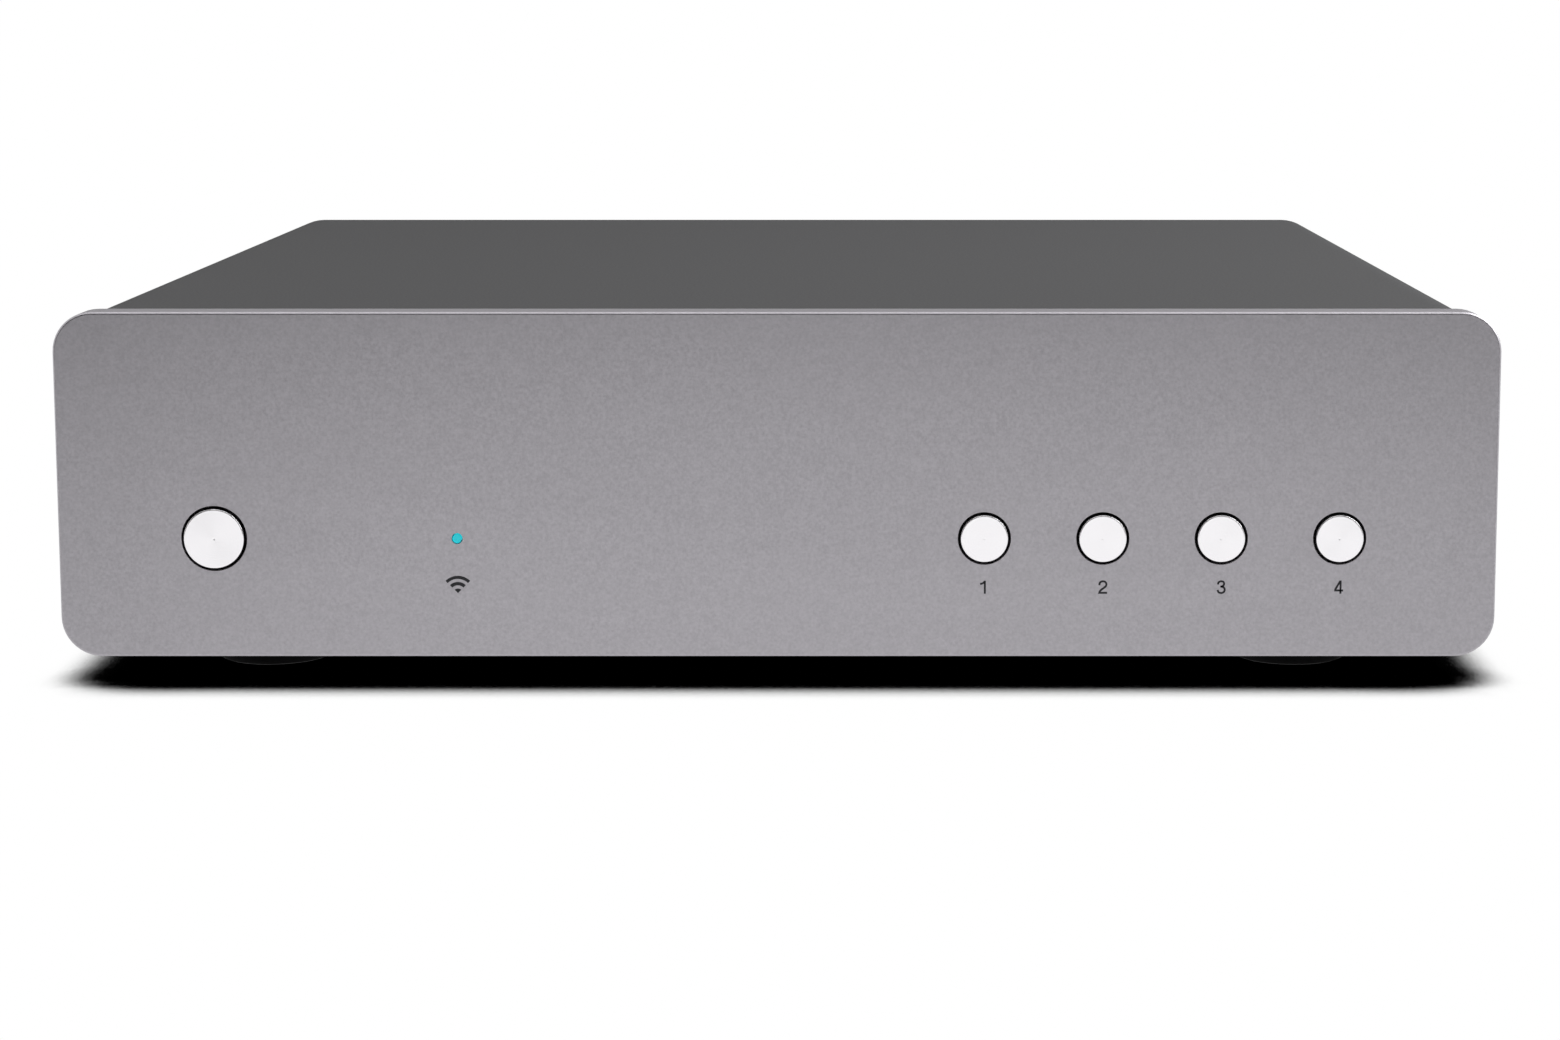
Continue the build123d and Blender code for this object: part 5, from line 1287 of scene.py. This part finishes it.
class STREAMER_OT_stage(bpy.types.Operator):
    """Set the floor, the world, the lamps and the camera"""

    bl_idname = "streamer.stage"
    bl_label = "Stage"

    def execute(self, context):
        stage = context.scene.streamer_stage
        self.floor()
        self.world(context.scene, stage.ambient)
        self.flags()
        self.lamp("key_light", (0.45, 0.0, 0.36), (0, 0, 0.03), (0.42, 0.42), stage.key)
        self.lamp("strip_light", (0.0, -0.15, 0.62), (0, -0.1, 0.057), (1.0, 0.09), stage.strip)
        self.camera(context.scene, stage)
        return {"FINISHED"}

    def by_ray(self, tree, lit, shown):
        """One shader for rays from the camera, a mirror or glass, and another for the light on the piece."""
        path = add(tree, "ShaderNodeLightPath")
        values = work_out(tree, path.outputs.items(), [
            ("seen", "MAXIMUM", "Is Camera Ray", "Is Glossy Ray"),
            ("shown", "MAXIMUM", "seen", "Is Transmission Ray"),
        ])
        mixed = add(tree, "ShaderNodeMixShader", {0: values["shown"], 1: lit, 2: shown})
        return {"Surface": mixed}

    def floor(self):
        """A pale floor that shows white, with a painted shadow under the case and just in front of it."""
        shape = bmesh.new()
        bmesh.ops.create_grid(shape, x_segments=1, y_segments=1, size=3.0)
        floor = new_piece("floor", mesh_from(shape, "floor"))
        material, tree = blank("pale_floor")
        # Painted shadow: the colour the floor shows darkens where the case hides its surroundings within 12
        # mm
        cover = add(tree, "ShaderNodeAmbientOcclusion", {"Distance": 12 * MM}, samples=16)
        shadow = add(tree, "ShaderNodeMapRange", {
            "Value": cover.outputs["AO"], "From Min": 0.55, "From Max": 0.86,
        }, interpolation_type="SMOOTHSTEP")
        path = add(tree, "ShaderNodeLightPath")
        seen = add(tree, "ShaderNodeMath", {
            0: shadow, 1: path.outputs["Is Glossy Ray"],
        }, operation="MAXIMUM")
        shown = add(tree, "ShaderNodeEmission", {"Color": seen, "Strength": 1.0})
        lit = add(tree, "ShaderNodeBsdfDiffuse", {"Color": linear("#E6E6E6")})
        add(tree, "ShaderNodeOutputMaterial", self.by_ray(tree, lit, shown))
        floor.data.materials.append(material)

    def flags(self):
        """Dark boards that only sheen sees, as a studio sets them to shape the gradient of a metal face."""
        boards = {
            "over_the_camera": [
                (-0.6, -0.25, 0.062), (0.6, -0.25, 0.062), (0.6, -0.45, 0.9), (-0.6, -0.45, 0.9),
            ],
            "left": [(-0.33, -1.0, 0.0), (-0.33, -0.2, 0.0), (-0.33, -0.2, 0.8), (-0.33, -1.0, 0.8)],
            "right": [(0.33, -0.2, 0.0), (0.33, -1.0, 0.0), (0.33, -1.0, 0.8), (0.33, -0.2, 0.8)],
            "behind": [(0.9, 1.2, 0.0), (-0.9, 1.2, 0.0), (-0.9, 1.2, 0.55), (0.9, 1.2, 0.55)],
        }
        material, tree = blank("black_velvet")
        velvet = add(tree, "ShaderNodeEmission", {"Color": linear("#101010")})
        add(tree, "ShaderNodeOutputMaterial", {"Surface": velvet})
        for name, corners in boards.items():
            mesh = bpy.data.meshes.new(f"flag_{name}")
            mesh.from_pydata(corners, [], [(0, 1, 2, 3)])
            mesh.materials.append(material)
            board = new_piece(f"flag_{name}", mesh)
            for rays in ("camera", "diffuse", "shadow", "transmission"):
                setattr(board, f"visible_{rays}", False)

    def world(self, scene, ambient):
        """Plain light all round, shown as white."""
        world = bpy.data.worlds.new("studio")
        world.use_nodes = True
        tree = world.node_tree
        tree.nodes.clear()
        white = (1, 1, 1, 1)
        shown = add(tree, "ShaderNodeBackground", {"Color": white, "Strength": 1.0})
        lit = add(tree, "ShaderNodeBackground", {"Color": white, "Strength": ambient})
        add(tree, "ShaderNodeOutputWorld", self.by_ray(tree, lit, shown))
        scene.world = world

    def lamp(self, name, place, target, size, power):
        """A soft lamp that points at a target."""
        light = bpy.data.lights.new(name, "AREA")
        light.shape = "RECTANGLE"
        light.size, light.size_y = size
        light.energy = power
        lamp = new_piece(name, light)
        lamp.location = place
        lamp.rotation_euler = (Vector(target) - Vector(place)).to_track_quat("-Z", "Y").to_euler()

    def camera(self, scene, stage):
        """The camera at the photograph's angle."""
        lens = bpy.data.cameras.new("camera")
        lens.lens = stage.lens
        lens.sensor_width = 36
        lens.shift_x = stage.shift_x
        lens.shift_y = stage.shift_y
        camera = new_piece("camera", lens)
        camera.location = stage.camera_place
        camera.rotation_euler = (math.pi / 2 - stage.camera_pitch, 0, 0)
        scene.camera = camera
        scene.view_settings.view_transform = "Standard"


OPERATORS = (
    STREAMER_OT_stage, STREAMER_OT_front_panel, STREAMER_OT_buttons, STREAMER_OT_case,
    STREAMER_OT_screws, STREAMER_OT_antenna_sockets, STREAMER_OT_network_sockets, STREAMER_OT_audio_sockets,
    STREAMER_OT_mains_inlet, STREAMER_OT_boards, STREAMER_OT_board_parts, STREAMER_OT_supply,
)
GROUPS = {
    "streamer_finish": StreamerFinish, "streamer_sizes": StreamerSizes, "streamer_stage": StreamerStage,
}


class STREAMER_PT_pieces(bpy.types.Panel):
    """Lists the pieces and the choices that shape them"""

    bl_idname = "STREAMER_PT_pieces"
    bl_label = "Network Music Streamer"
    bl_space_type = "VIEW_3D"
    bl_region_type = "UI"
    bl_category = "Streamer"

    def draw(self, context):
        for group in GROUPS:
            settings = getattr(context.scene, group)
            box = self.layout.box()
            for name in settings.bl_rna.properties.keys():
                if name not in ("rna_type", "name"):
                    box.prop(settings, name)
        for operator in OPERATORS:
            self.layout.operator(operator.bl_idname)


def register():
    """Registers the choices, the operators and the panel."""
    for name, group in GROUPS.items():
        bpy.utils.register_class(group)
        setattr(bpy.types.Scene, name, PointerProperty(type=group))
    for operator in OPERATORS:
        bpy.utils.register_class(operator)
    bpy.utils.register_class(STREAMER_PT_pieces)


def unregister():
    """Takes back what register added."""
    bpy.utils.unregister_class(STREAMER_PT_pieces)
    for operator in reversed(OPERATORS):
        bpy.utils.unregister_class(operator)
    for name, group in GROUPS.items():
        delattr(bpy.types.Scene, name)
        bpy.utils.unregister_class(group)


def main():
    """Finishes the whole streamer."""
    register()
    for node, shape in frame["nodes"].items():
        shape.data.materials.clear()
        shape.data.materials.append(finish_of(SLOT_OF[node]))
    for operator in OPERATORS:
        group, name = operator.bl_idname.split(".")
        getattr(getattr(bpy.ops, group), name)()


if __name__ == "__main__":
    main()
